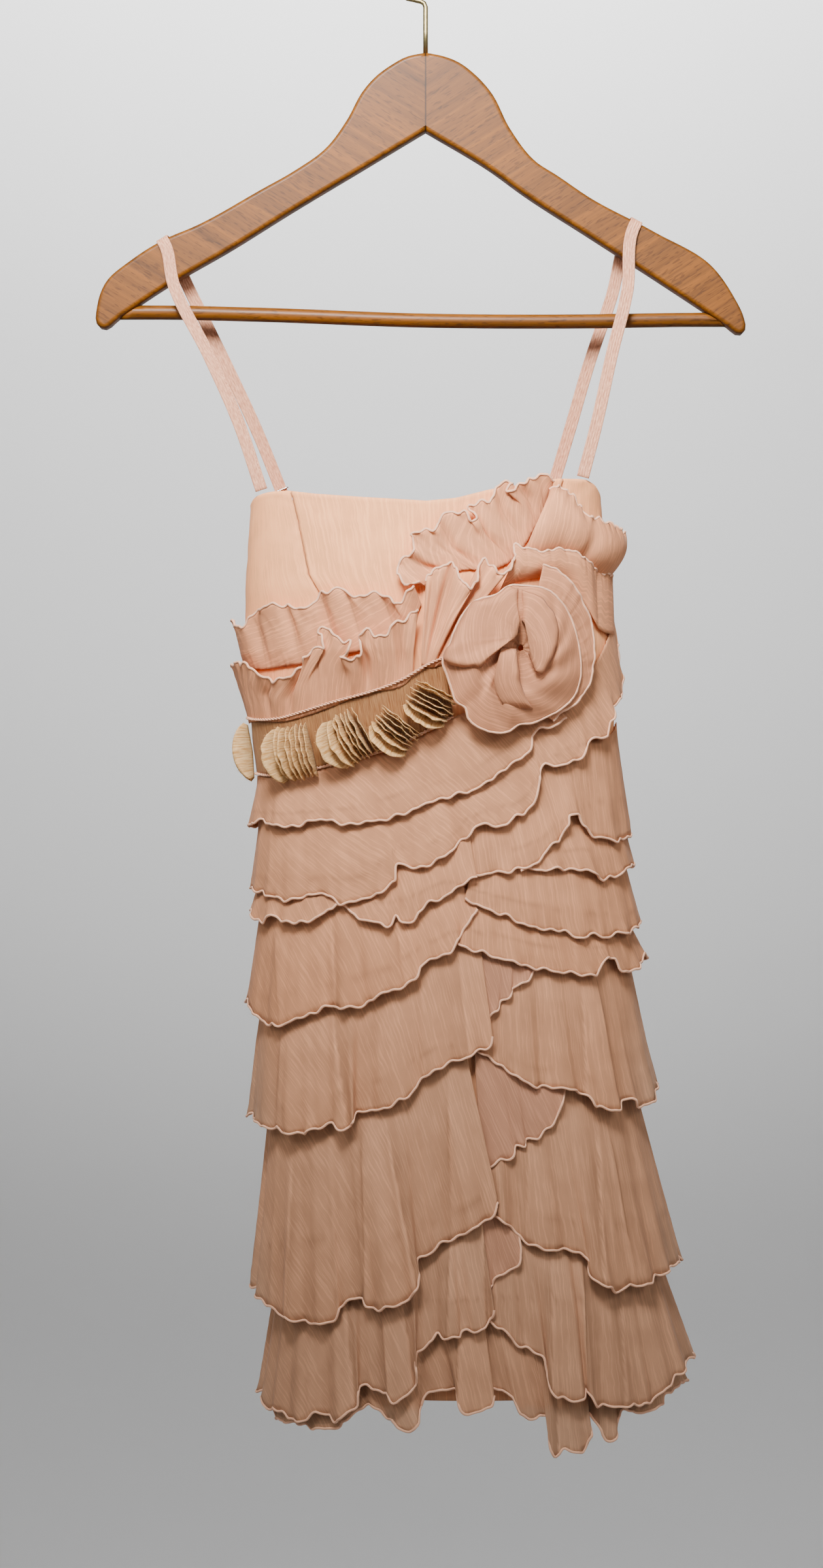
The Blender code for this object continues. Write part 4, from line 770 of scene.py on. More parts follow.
def grids(name, patches, surface, wall=0.0, ring=False):
    """Cloth patches as one piece: each is its columns of points, its flat cut and its marks."""
    corners, faces, cuts, marks = [], [], [], {}
    start = 0
    for points, cut, own in patches:
        columns, rows = points.shape[:2]
        index = np.arange(columns * rows).reshape(columns, rows) + start
        before = index if ring else index[:-1]
        after = np.roll(index, -1, axis=0) if ring else index[1:]
        around = np.arange(columns + 1)
        quads = [before[:, :-1], before[:, 1:], after[:, 1:], after[:, :-1]]
        faces.append(np.stack(quads, axis=-1).reshape(-1, 4))
        left, right = around[:len(before)], around[1:len(before) + 1]
        flat = [cut[left, :-1], cut[left, 1:], cut[right, 1:], cut[right, :-1]]
        cuts.append(np.stack(flat, axis=2).reshape(-1, 2))
        corners.append(points.reshape(-1, 3))
        for label, values in own.items():
            marks.setdefault(label, []).append(values.reshape(-1))
        start += columns * rows
    mesh = bpy.data.meshes.new(name)
    mesh.from_pydata(np.concatenate(corners).tolist(), [], np.concatenate(faces).tolist())
    flat = np.concatenate(cuts).astype(np.float32)
    mesh.uv_layers.new(name="cut").data.foreach_set("uv", flat.reshape(-1))
    for label, values in marks.items():
        mark = mesh.attributes.new(label, "FLOAT", "POINT")
        mark.data.foreach_set("value", np.concatenate(values).astype(np.float32))
    mesh.materials.append(surface)
    mesh.shade_smooth()
    made = link(name, mesh)
    if wall:
        thick = made.modifiers.new("wall", "SOLIDIFY")
        thick.thickness = wall
        thick.offset = 0.0
    return made


def dress(piece, node):
    """Hides the part's node that a finished piece stands for, and hangs the piece on the root body."""
    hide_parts(node)
    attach(piece, "root")
    return piece


def plug(tree, node, inputs):
    """Links or sets a node's inputs, by name or number. A node as a value stands for its first outlet."""
    for key, value in inputs.items():
        value = value.outputs[0] if isinstance(value, bpy.types.Node) else value
        if isinstance(value, bpy.types.NodeSocket):
            tree.links.new(value, node.inputs[key])
        else:
            node.inputs[key].default_value = value


def add(tree, kind, inputs=None, **settings):
    """Adds a node with its settings and its inputs."""
    made = tree.nodes.new(kind)
    for key, value in settings.items():
        setattr(made, key, value)
    plug(tree, made, inputs or {})
    return made


# Geometry Nodes for what follows a line.


def start_tree(name, inputs):
    """A geometry tree with a named input for each size, and the outlets of those inputs."""
    tree = bpy.data.node_groups.new(name, "GeometryNodeTree")
    tree.interface.new_socket("Geometry", in_out="INPUT", socket_type="NodeSocketGeometry")
    for label, kind in inputs:
        tree.interface.new_socket(label, in_out="INPUT", socket_type=kind)
    tree.interface.new_socket("Material", in_out="INPUT", socket_type="NodeSocketMaterial")
    tree.interface.new_socket("Geometry", in_out="OUTPUT", socket_type="NodeSocketGeometry")
    return tree, add(tree, "NodeGroupInput").outputs


def end_tree(tree, geometry, inlets):
    """Realizes the instances, smooths them and gives them their material."""
    real = add(tree, "GeometryNodeRealizeInstances", {"Geometry": geometry})
    smooth = add(tree, "GeometryNodeSetShadeSmooth", {"Geometry": real})
    painted = add(tree, "GeometryNodeSetMaterial", {"Geometry": smooth, "Material": inlets["Material"]})
    add(tree, "NodeGroupOutput", {"Geometry": painted})
    return tree


def rolled_hem_tree():
    """A thread-bound edge: a thin round roll along a line, a little uneven in place and thickness."""
    tree, inlets = start_tree("rolled hem", [
        ("Radius", "NodeSocketFloat"), ("Wobble", "NodeSocketFloat"), ("Seed", "NodeSocketFloat"),
    ])
    line = add(tree, "GeometryNodeMeshToCurve", {"Mesh": inlets["Geometry"]})
    noise = add(tree, "ShaderNodeTexNoise", {"W": inlets["Seed"], "Scale": 320.0, "Detail": 1.0},
                noise_dimensions="4D")
    centred = add(tree, "ShaderNodeVectorMath", {0: noise.outputs["Color"], 1: (0.5, 0.5, 0.5)},
                  operation="SUBTRACT")
    shift = add(tree, "ShaderNodeVectorMath", {0: centred, "Scale": inlets["Wobble"]}, operation="SCALE")
    moved = add(tree, "GeometryNodeSetPosition", {"Geometry": line, "Offset": shift})
    profile = add(tree, "GeometryNodeCurvePrimitiveCircle", {"Resolution": 6, "Radius": inlets["Radius"]})
    roll = add(tree, "GeometryNodeCurveToMesh",
               {"Curve": moved, "Profile Curve": profile, "Fill Caps": True})
    return end_tree(tree, roll, inlets)


def twisted_cord_tree():
    """Two strands twisted round each other along a line."""
    tree, inlets = start_tree("twisted cord", [
        ("Strand radius", "NodeSocketFloat"), ("Turns per metre", "NodeSocketFloat"),
    ])
    line = add(tree, "GeometryNodeMeshToCurve", {"Mesh": inlets["Geometry"]})
    where = add(tree, "GeometryNodeSplineParameter")
    twist = add(tree, "ShaderNodeMath", {0: inlets["Turns per metre"], 1: math.tau}, operation="MULTIPLY")
    tilt = add(tree, "ShaderNodeMath", {0: where.outputs["Length"], 1: twist}, operation="MULTIPLY")
    turned = add(tree, "GeometryNodeSetCurveTilt", {"Curve": line, "Tilt": tilt})
    circle = add(tree, "GeometryNodeCurvePrimitiveCircle",
                 {"Resolution": 6, "Radius": inlets["Strand radius"]})
    apart = add(tree, "ShaderNodeCombineXYZ", {"X": inlets["Strand radius"]})
    other = add(tree, "ShaderNodeVectorMath", {0: apart, 1: (-1.0, 0.0, 0.0)}, operation="MULTIPLY")
    pair = add(tree, "GeometryNodeJoinGeometry")
    for place in (apart, other):
        strand = add(tree, "GeometryNodeTransform", {"Geometry": circle, "Translation": place})
        tree.links.new(strand.outputs[0], pair.inputs[0])
    cord = add(tree, "GeometryNodeCurveToMesh", {"Curve": turned, "Profile Curve": pair, "Fill Caps": True})
    return end_tree(tree, cord, inlets)


def stitch_tree():
    """A row of short thread stitches along a line."""
    tree, inlets = start_tree("stitches", [
        ("Pitch", "NodeSocketFloat"), ("Thread radius", "NodeSocketFloat"),
    ])
    line = add(tree, "GeometryNodeMeshToCurve", {"Mesh": inlets["Geometry"]})
    dots = add(tree, "GeometryNodeResampleCurve", {"Curve": line, "Length": inlets["Pitch"]}, mode="LENGTH")
    bead = add(tree, "GeometryNodeMeshUVSphere",
               {"Segments": 6, "Rings": 4, "Radius": inlets["Thread radius"]})
    long = add(tree, "GeometryNodeTransform", {"Geometry": bead, "Scale": (1.0, 1.0, 3.4)})
    tangent = add(tree, "GeometryNodeInputTangent")
    turned = add(tree, "FunctionNodeAlignRotationToVector", {"Vector": tangent}, axis="Z")
    row = add(tree, "GeometryNodeInstanceOnPoints", {"Points": dots, "Instance": long, "Rotation": turned})
    return end_tree(tree, row, inlets)


def fray_tree():
    """Loose thread ends along cut edges, each with its own direction and length."""
    tree, inlets = start_tree("frayed threads", [
        ("Spacing", "NodeSocketFloat"), ("Length", "NodeSocketFloat"), ("Thread radius", "NodeSocketFloat"),
        ("Seed", "NodeSocketInt"),
    ])
    line = add(tree, "GeometryNodeMeshToCurve", {"Mesh": inlets["Geometry"]})
    dots = add(tree, "GeometryNodeResampleCurve", {"Curve": line, "Length": inlets["Spacing"]},
               mode="LENGTH")
    tip = add(tree, "ShaderNodeCombineXYZ", {"Z": inlets["Length"]})
    hair = add(tree, "GeometryNodeCurvePrimitiveLine", {"End": tip})
    thin = add(tree, "GeometryNodeCurvePrimitiveCircle",
               {"Resolution": 3, "Radius": inlets["Thread radius"]})
    thread = add(tree, "GeometryNodeCurveToMesh", {"Curve": hair, "Profile Curve": thin, "Fill Caps": True})
    turn = add(tree, "FunctionNodeRandomValue",
               {0: (0.0, 0.0, 0.0), 1: (math.tau, math.tau, math.tau), "Seed": inlets["Seed"]},
               data_type="FLOAT_VECTOR")
    size = add(tree, "FunctionNodeRandomValue", {2: 0.35, 3: 1.0, "Seed": inlets["Seed"]},
               data_type="FLOAT")
    euler = add(tree, "FunctionNodeEulerToRotation", {0: turn})
    row = add(tree, "GeometryNodeInstanceOnPoints",
              {"Points": dots, "Instance": thread, "Rotation": euler,
               "Scale": size.outputs[1]})
    return end_tree(tree, row, inlets)


def along_lines(name, lines, tree, sizes, surface):
    """Runs a geometry tree on lines of points, and keeps the result as a plain mesh on the gown."""
    corners, edges, start = [], [], 0
    for line in lines:
        corners += [tuple(spot) for spot in line]
        edges += [(start + step, start + step + 1) for step in range(len(line) - 1)]
        start += len(line)
    mesh = bpy.data.meshes.new(name)
    mesh.from_pydata(corners, edges, [])
    made = link(name, mesh)
    grown = made.modifiers.new("follows the line", "NODES")
    grown.node_group = tree
    for item in tree.interface.items_tree:
        if item.in_out == "INPUT" and item.name in sizes:
            grown[item.identifier] = sizes[item.name]
        if item.in_out == "INPUT" and item.name == "Material":
            grown[item.identifier] = surface
    ready = made.evaluated_get(bpy.context.evaluated_depsgraph_get())
    plain = bpy.data.meshes.new_from_object(ready)
    made.modifiers.clear()
    made.data = plain
    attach(made, "root")
    return made


# Materials.


def surface_tree(name):
    """A new material, its tree and its shader."""
    made = bpy.data.materials.new(name)
    made.use_nodes = True
    return made, made.node_tree, made.node_tree.nodes["Principled BSDF"]


def marked(tree, label, full):
    """A factor that runs from 1 to its full value as the cloth's mark of that name runs from 0 to 1."""
    mark = add(tree, "ShaderNodeAttribute", attribute_name=label)
    return add(tree, "ShaderNodeMapRange", {"Value": mark.outputs["Fac"], "To Min": 1.0, "To Max": full})


def chiffon(name, colour, depth=0.05, spacing=None, relief=0.16):
    """Crinkled silk georgette: woven from overtwisted yarn, so that it shrinks into fine uneven creases.

    The creases run along the cut's warp, 1.5 mm apart unless a spacing says otherwise. They give the eye a
    streaked, powdery surface with no gloss, painted darker in each crease as painted shade and lighter on
    each ridge as a painted highlight. The marks paint shade where a seam lies behind, beside a lap, in
    creases, valleys and gathers, paint a highlight on its free edge and its laps, and paint in a greyer veil:
    painted shade lower down the skirt, and the paler room where only one thin layer hangs.
    """
    spacing = spacing or bpy.context.scene.gown_sizes.crinkle
    made, tree, shader = surface_tree(name)
    cut = add(tree, "ShaderNodeUVMap", uv_map="cut")
    # The creases wander by up to 2 mm over about 10 mm, and each runs on for about 40 mm.
    drift = add(tree, "ShaderNodeTexNoise", {"Vector": cut, "Scale": 95.0, "Detail": 2.0},
                noise_dimensions="2D")
    bent = add(tree, "ShaderNodeVectorMath", {0: drift.outputs["Color"], 1: (0.002, 0.002, 0.0), 2: cut},
               operation="MULTIPLY_ADD")
    drawn = add(tree, "ShaderNodeVectorMath", {0: bent, 1: (1.0 / spacing, 26.0, 1.0)},
                operation="MULTIPLY")
    crease = add(tree, "ShaderNodeTexNoise",
                 {"Vector": drawn, "Scale": 1.0, "Detail": 2.5, "Roughness": 0.62},
                 noise_dimensions="2D")
    # The dye takes a little unevenly, in patches of about 20 mm.
    patch = add(tree, "ShaderNodeTexNoise", {"Vector": cut, "Scale": 48.0, "Detail": 3.0},
                noise_dimensions="2D")
    # The crease streaks: painted shade in each crease and a painted highlight on each ridge.
    lines = add(tree, "ShaderNodeMapRange",
                {"Value": crease, "From Min": 0.5, "From Max": 0.66, "To Min": 1.0 - depth,
                 "To Max": 1.16})
    clouds = add(tree, "ShaderNodeMapRange",
                 {"Value": patch, "From Min": 0.3, "From Max": 0.7, "To Min": 0.93,
                  "To Max": 1.05})
    # The brightness: crease streaks, the dye's patches, the painted shade and the painted highlight.
    light = lines
    for factor in (clouds, marked(tree, "painted_shade_and_cloud", 0.62), marked(tree, "painted_highlight", 1.14)):
        light = add(tree, "ShaderNodeMath", {0: light, 1: factor}, operation="MULTIPLY")
    # Between its creases the cloth is painted a little darker and redder, as painted shade.
    painted_shading = tuple(value * tint for value, tint in zip(colour[:3], (1.0, 0.93, 0.87)))
    tinted = add(tree, "ShaderNodeMix", {"Factor": lines, 6: (*painted_shading, 1.0), 7: tuple(colour)},
                 data_type="RGBA")
    # The painted veil: greyer as painted shade lower down the skirt, and paler where the room is painted in
    # through one thin layer.
    veil_mark = add(tree, "ShaderNodeAttribute", attribute_name="painted_veil")
    share = add(tree, "ShaderNodeMath", {0: veil_mark.outputs["Fac"], 1: 0.42}, operation="MULTIPLY")
    veiled = add(tree, "ShaderNodeMix",
                 {"Factor": share, 6: tinted.outputs[2], 7: linear(PAINTED_VEIL_TINT)}, data_type="RGBA")
    lit = add(tree, "ShaderNodeVectorMath", {0: veiled.outputs[2], "Scale": light}, operation="SCALE")
    bump = add(tree, "ShaderNodeBump", {"Height": crease, "Strength": relief, "Distance": spacing * 0.5})
    plug(tree, shader, {"Base Color": lit, "Normal": bump, "Roughness": 0.78,
                        "Specular IOR Level": 0.12, "Sheen Weight": 0.06, "Sheen Roughness": 0.4})
    return made


def streaked(name, colour, shade, wide, long, roughness, relief, sheen=0.06):
    """Silk, webbing or thread: yarns laid side by side, which give fine streaks along the second axis.

    The streaks are wide and long in metres, on the piece's own flat cut, with the darker shade between.
    """
    made, tree, shader = surface_tree(name)
    cut = add(tree, "ShaderNodeUVMap", uv_map="cut")
    drawn = add(tree, "ShaderNodeVectorMath", {0: cut, 1: (1.0 / wide, 1.0 / long, 1.0)},
                operation="MULTIPLY")
    streaks = add(tree, "ShaderNodeTexNoise",
                  {"Vector": drawn, "Scale": 1.0, "Detail": 3.0, "Roughness": 0.6},
                  noise_dimensions="2D")
    ramp = add(tree, "ShaderNodeMapRange", {"Value": streaks, "From Min": 0.34, "From Max": 0.66})
    hue = add(tree, "ShaderNodeMix", {"Factor": ramp, 6: tuple(shade), 7: tuple(colour)}, data_type="RGBA")
    bump = add(tree, "ShaderNodeBump", {"Height": streaks, "Strength": relief, "Distance": wide * 0.6})
    # Painted shade from the cloth's shade mark.
    painted_shading = marked(tree, "painted_shade_and_cloud", 0.5)
    lit = add(tree, "ShaderNodeVectorMath", {0: hue.outputs[2], "Scale": painted_shading}, operation="SCALE")
    plug(tree, shader, {"Base Color": lit, "Normal": bump, "Roughness": roughness, "Sheen Weight": sheen})
    return made


def hem_thread():
    """Spun polyester sewing thread, wound over the rolled hems and sewn in the straps, made once.

    Its fine twist gives short pale streaks, matt and a little lighter than the cloth.
    """
    tints = bpy.context.scene.gown_colours
    made = bpy.data.materials.get("rolled hem thread")
    return made or streaked("rolled hem thread", tints.hem, tints.bust, 0.0008, 0.0012, 0.7, 0.3)


def varnished_beech(name, light, dark, slope):
    """Varnished steam-beech: sawn and shaped board, with short dark flecks in a fine straight grain.

    The grain follows the arm's slope. The varnish lays a clear soft gloss over the warm brown, and the open
    joint between the two arms shows as a dark line.
    """
    made, tree, shader = surface_tree(name)
    here = add(tree, "ShaderNodeTexCoord")
    turned = add(tree, "ShaderNodeMapping",
                 {"Vector": here.outputs["Object"], "Rotation": (0.0, slope, 0.0)})
    noises = []
    # Per metre along and across the board: 2 mm grain, bands of a hand's length, and 7 mm flecks.
    for density, detail in (((14.0, 500.0, 620.0), {"Detail": 3.0, "Roughness": 0.6}),
                            ((5.0, 60.0, 110.0), {"Detail": 4.0, "Distortion": 0.6}),
                            ((150.0, 900.0, 900.0), {"Detail": 1.0})):
        place = add(tree, "ShaderNodeVectorMath", {0: turned, 1: density}, operation="MULTIPLY")
        noise = add(tree, "ShaderNodeTexNoise", {"Vector": place, "Scale": 1.0, **detail})
        noises.append(noise)
    grain, bands, flecks = noises
    streak = add(tree, "ShaderNodeMath", {0: grain, 1: bands}, operation="MULTIPLY")
    wood = add(tree, "ShaderNodeMapRange", {"Value": streak, "From Min": 0.08, "From Max": 0.42})
    hue = add(tree, "ShaderNodeMix", {"Factor": wood, 6: tuple(dark), 7: tuple(light)}, data_type="RGBA")
    speck = add(tree, "ShaderNodeMapRange",
                {"Value": flecks, "From Min": 0.58, "From Max": 0.66, "To Min": 1.0, "To Max": 0.6})
    side = add(tree, "ShaderNodeSeparateXYZ", {0: here.outputs["Object"]})
    aside = add(tree, "ShaderNodeMath", {0: side}, operation="ABSOLUTE")
    joint = add(tree, "ShaderNodeMapRange",
                {"Value": aside, "From Min": 0.0003, "From Max": 0.0008,
                 "To Min": 0.3 if slope else 1.0, "To Max": 1.0})
    shade = add(tree, "ShaderNodeMath", {0: speck, 1: joint}, operation="MULTIPLY")
    colour = add(tree, "ShaderNodeVectorMath", {0: hue.outputs[2], "Scale": shade}, operation="SCALE")
    bump = add(tree, "ShaderNodeBump", {"Height": grain, "Strength": 0.12, "Distance": 0.0004})
    plug(tree, shader, {"Base Color": colour, "Normal": bump, "Roughness": 0.5,
                        "Specular IOR Level": 0.25, "Coat Weight": 0.1, "Coat Roughness": 0.25})
    return made


def worn_metal(name, bright, dull, roughness):
    """Drawn and plated wire, a little tarnished: bright and dull in patches."""
    made, tree, shader = surface_tree(name)
    here = add(tree, "ShaderNodeTexCoord")
    # Patches of about 4 mm.
    cloud = add(tree, "ShaderNodeTexNoise",
                {"Vector": here.outputs["Object"], "Scale": 260.0, "Detail": 4.0, "Roughness": 0.65})
    hue = add(tree, "ShaderNodeMix", {"Factor": cloud, 6: tuple(dull), 7: tuple(bright)}, data_type="RGBA")
    rough = add(tree, "ShaderNodeMapRange",
                {"Value": cloud, "To Min": roughness + 0.15, "To Max": roughness - 0.08})
    plug(tree, shader, {"Base Color": hue.outputs[2], "Roughness": rough, "Metallic": 1.0})
    return made


def painted_plain(name, colour):
    """Matt painted board of the floor: rolled paint, with a faint cloudiness and no gloss."""
    made, tree, shader = surface_tree(name)
    here = add(tree, "ShaderNodeTexCoord")
    cloud = add(tree, "ShaderNodeTexNoise", {"Vector": here.outputs["Object"], "Scale": 1.2, "Detail": 2.0})
    painted_shade_and_cloud = add(tree, "ShaderNodeMapRange", {"Value": cloud, "To Min": 0.985, "To Max": 1.0})
    hue = add(tree, "ShaderNodeVectorMath", {0: tuple(colour[:3]), "Scale": painted_shade_and_cloud}, operation="SCALE")
    plug(tree, shader, {"Base Color": hue, "Roughness": 0.9, "Specular IOR Level": 0.1})
    return made


# Cloth, straps, wire and wood.


def hem_of(name, line, seed):
    """A rolled hem along an edge of a cloth piece."""
    tree = bpy.data.node_groups.get("rolled hem") or rolled_hem_tree()
    radius = bpy.context.scene.gown_sizes.hem_roll
    inputs = {"Radius": radius, "Wobble": HEM_WOBBLE, "Seed": float(seed)}
    return along_lines(name, [line], tree, inputs, hem_thread())


def depth_of(lines):
    """A ruffle's mean depth in millimetres, from its tables."""
    return abs(np.mean([row[1] for row in lines[-1]]) - np.mean([row[1] for row in lines[0]]))


def curled_back(name, filled):
    """Swings the lower half of the cloth to the curled line of its free edge."""
    first, last, middle = CURLED[name]
    edge = next(row[2] for row in BUST if row[0] == name)[-1]
    curled = edge_curve([*edge[:first], *middle, *edge[last:]])
    curled = evenly(curled, len(filled), on_dress(curled))
    share = np.clip((np.linspace(0.0, 1.0, filled.shape[1]) - 0.5) / 0.5, 0.0, 1.0)[None, :, None]
    return filled + (curled - filled[:, -1])[:, None] * share * share * (3 - 2 * share)


def tucked(name, filled, points, along, level, painted_shade_and_cloud):
    """Presses a frill's tucks into its cloth, and paints shade into their creases."""
    for across in TUCKS.get(name, ()):
        column = np.argmin(np.abs(points[:, -1, 0] / MM - across))
        aside = (along - along[column]) * (0.55 + 0.45 * level)
        filled[..., 2] -= TUCK_DEPTH * np.exp(-(aside / TUCK_WIDTH) ** 2) * np.sin(level * 2.6)
        crease = CREASE_SHADE * np.exp(-(aside / CREASE_WIDTH) ** 2) * np.sin(level * 2.4)
        painted_shade_and_cloud = np.maximum(painted_shade_and_cloud, crease)
    return painted_shade_and_cloud


def lapped(name, filled, points, level, seed, painted_shade_and_cloud):
    """Steps a tier's cloth out at its laps, and paints shade beside them and a highlight on them."""
    light = np.zeros_like(painted_shade_and_cloud)
    shift = seed % 23 - 11
    behind = [(top + shift, foot + shift, rise) for top, foot, rise in LAPS_BEHIND]
    turn = np.abs(filled[..., 0])
    for laps, side in ((LAPS.get(name, ()), turn < FRONT_TURN), (behind, turn > BEHIND_TURN)):
        for top, foot, rise in laps:
            past = (points[..., 0] / MM - top - (foot - top) * level) * np.sign(rise)
            fade = np.clip((level - 0.12) / 0.3, 0.0, 1.0) * side
            step = np.clip(past / LAP_EDGE + 0.5, 0.0, 1.0)
            away = np.exp(-np.maximum(past, 0.0) / LAP_REACH)
            filled[..., 2] += abs(rise) * fade * step * away
            full = min(1.0, abs(rise) / LAP_FULL)
            shade = LAP_SHADE_DEPTH * full * fade * (past < 0) * np.exp(np.minimum(past, 0.0) / LAP_SHADE)
            painted_shade_and_cloud = np.maximum(painted_shade_and_cloud, shade)
            light = np.maximum(light, full * fade * (past >= 0) * (away * 0.6 + (past < LAP_EDGE) * 0.4))
    return painted_shade_and_cloud, light


def painted_veil_share(name, filled, level):
    """Painted veil: its tier's painted shade, and the pale room painted in past the sides and below the slip.
    """
    beyond = np.clip((np.abs(filled[..., 0]) - 0.85) / 0.5, 0.0, 1.0) * level
    veil = PAINTED_VEILS.get(name[:6], 0.0) * (FOLD_PAINTED_VEIL if name.endswith("fold") else 1.0)
    painted_veil = np.maximum(beyond * float(veil > 0), veil)
    if name.startswith("tier_9"):
        painted_veil = np.maximum(painted_veil, np.clip((filled[..., 1] - SLIP_END) / 4.0, 0.0, 1.0))
    return painted_veil


def ruffle(name, lines, surface, rows, seed, tail=None, grain=(0.0, 0.0), under=(), hems=("low",),
           curl=0.9, curl_length=19.0, swing=None, roll=0.0):
    """A gathered piece of chiffon from its seam to its rolled hem, with folds, gathers and a curled edge."""
    sizes = bpy.context.scene.gown_sizes
    flute = FLUTE_SHARE * depth_of(lines) if swing is None else 0.0
    swing = sizes.fold_swing / MM if swing is None else swing
    filled = rows_between(lay_out(lines, tail), rows)
    if name in CLOSED_IN:
        start, reach, share = CLOSED_IN[name]
        aside = np.clip((on_dress(filled)[..., 0] / MM - start) / reach, 0.0, 1.0)
        filled[..., 2] *= 1.0 - share * aside ** 2
    if name in CURLED:
        filled = curled_back(name, filled)
    points = on_dress(filled)
    down = distances(points, 1) / MM
    depth = down[:, -1:]
    level = down / depth
    along = (steps_along(points[:, -1]) / MM)[:, None]
    seam_along = (steps_along(points[:, 0]) / MM)[:, None]

    wide, fine = FOLD_LENGTHS
    ripple = waver(along, wide, seed) + 0.4 * waver(along + 0.6 * down, fine, seed + 1)
    folds = swing * level ** 0.8 * ripple
    folds = folds + flute * level ** 1.3 * waver(along, FLUTE_LENGTH, seed + 5)
    gathers = GATHER_SWING * (roll == 0.0) * np.exp(-down / GATHER_FADE)
    gathers = gathers * waver(seam_along, GATHER_LENGTH, seed + 2)
    from_edge = EDGE_CURL - down if "top" in hems else down - depth + EDGE_CURL
    lip = np.clip(from_edge / EDGE_CURL, 0.0, 1.0) ** 1.5
    filled[..., 2] += folds + gathers + curl * lip * waver(along, curl_length, seed + 3)
    filled[..., 1] += 1.2 * curl * lip * waver(along, curl_length * 0.8, seed + 4)
    if "low" not in hems:
        filled[..., 2] -= folds * level

    ends = np.minimum(along, along[-1] - along)
    inward = np.maximum(np.clip(1.0 - ends / ROLL_ENDS, 0.0, 1.0),
                        np.clip(1.0 - (depth - down) / ROLL_EDGE, 0.0, 1.0))
    filled[..., 2] -= roll * inward ** 2
    # Painted shade along the seam of the row behind, and where a folded piece rolls inwards.
    painted_shade_and_cloud = np.maximum(painted_show_through(filled, under) * 0.6, 0.2 * min(roll, 2.5) * inward ** 2)
    tier = name.startswith("tier")
    # Painted shade along the gathered seam of every piece but the tiers.
    if not tier:
        painted_shade_and_cloud = np.maximum(painted_shade_and_cloud, ROOT_SHADE * np.exp(-down / ROOT_FADE))
    painted_shade_and_cloud = tucked(name, filled, points, along, level, painted_shade_and_cloud)
    # Painted highlight along a hemmed free edge, and on a tier's laps.
    painted_highlight = np.clip(1.0 - (depth - down) / HIGHLIGHT_WIDTH, 0.0, 1.0) * float("low" in hems)
    if tier:
        painted_shade_and_cloud, light = lapped(name, filled, points, level, seed, painted_shade_and_cloud)
        painted_highlight = np.maximum(painted_highlight, light)

    points = on_dress(filled)
    # Painted shade in the hem's valleys, deeper lower down.
    valley = (eased(filled[:, -1, 2]) - filled[:, -1, 2])[:, None]
    painted_shade_and_cloud = np.maximum(painted_shade_and_cloud, VALLEY_SHADE * np.clip(valley / VALLEY_DEPTH, 0.0, 1.0) * level)
    marks = {"painted_shade_and_cloud": painted_shade_and_cloud, "painted_highlight": painted_highlight, "painted_veil": painted_veil_share(name, filled, level)}
    made = grids(name + "_cloth", [(points, flat_cut(points, grain), marks)], surface, wall=sizes.chiffon)
    dress(made, name)
    rims = {"low": points[:, -1], "top": points[:, 0]}
    rolled = [hem_of(f"{name}_hem_{edge}", rims[edge], seed) for edge in hems]


def neck(turn):
    """How far down the neckline lies at turns round the dress."""
    rows = np.array(NECKLINE, float)
    at = turns(rows[:, 0], rows[:, 1], PANEL_OUT)
    front = np.interp(turn, at, rows[:, 1])
    side = np.where(turn < 0, rows[0, 1], rows[-1, 1])
    share = np.clip((np.abs(turn) - SIDE_TURN) / NECK_EASE, 0.0, 1.0)
    corner = np.clip(1.0 - (SIDE_TURN - np.abs(turn)) / CORNER_TURN, 0.0, 1.0) ** 2 * CORNER_DROP
    back = side + CORNER_DROP * (1 - share) + (BACK_NECK - side) * share
    return np.where(np.abs(turn) <= SIDE_TURN, front + corner, back)


def princess(side):
    """The turn of the seam beside the front's middle panel, at a height."""
    rows = np.array(PRINCESS_SEAM, float)

    def seam(down):
        return turns(tube(down)[2] + side * np.interp(down, rows[:, 0], rows[:, 1]), down, PANEL_OUT)

    return seam


def fixed(turn):
    """A seam that keeps its turn at every height."""
    return lambda down: turn + 0 * down


def beside(distance, width):
    """From 1 on a line to 0 a few widths away from it."""
    return np.exp(-(distance / width) ** 2)


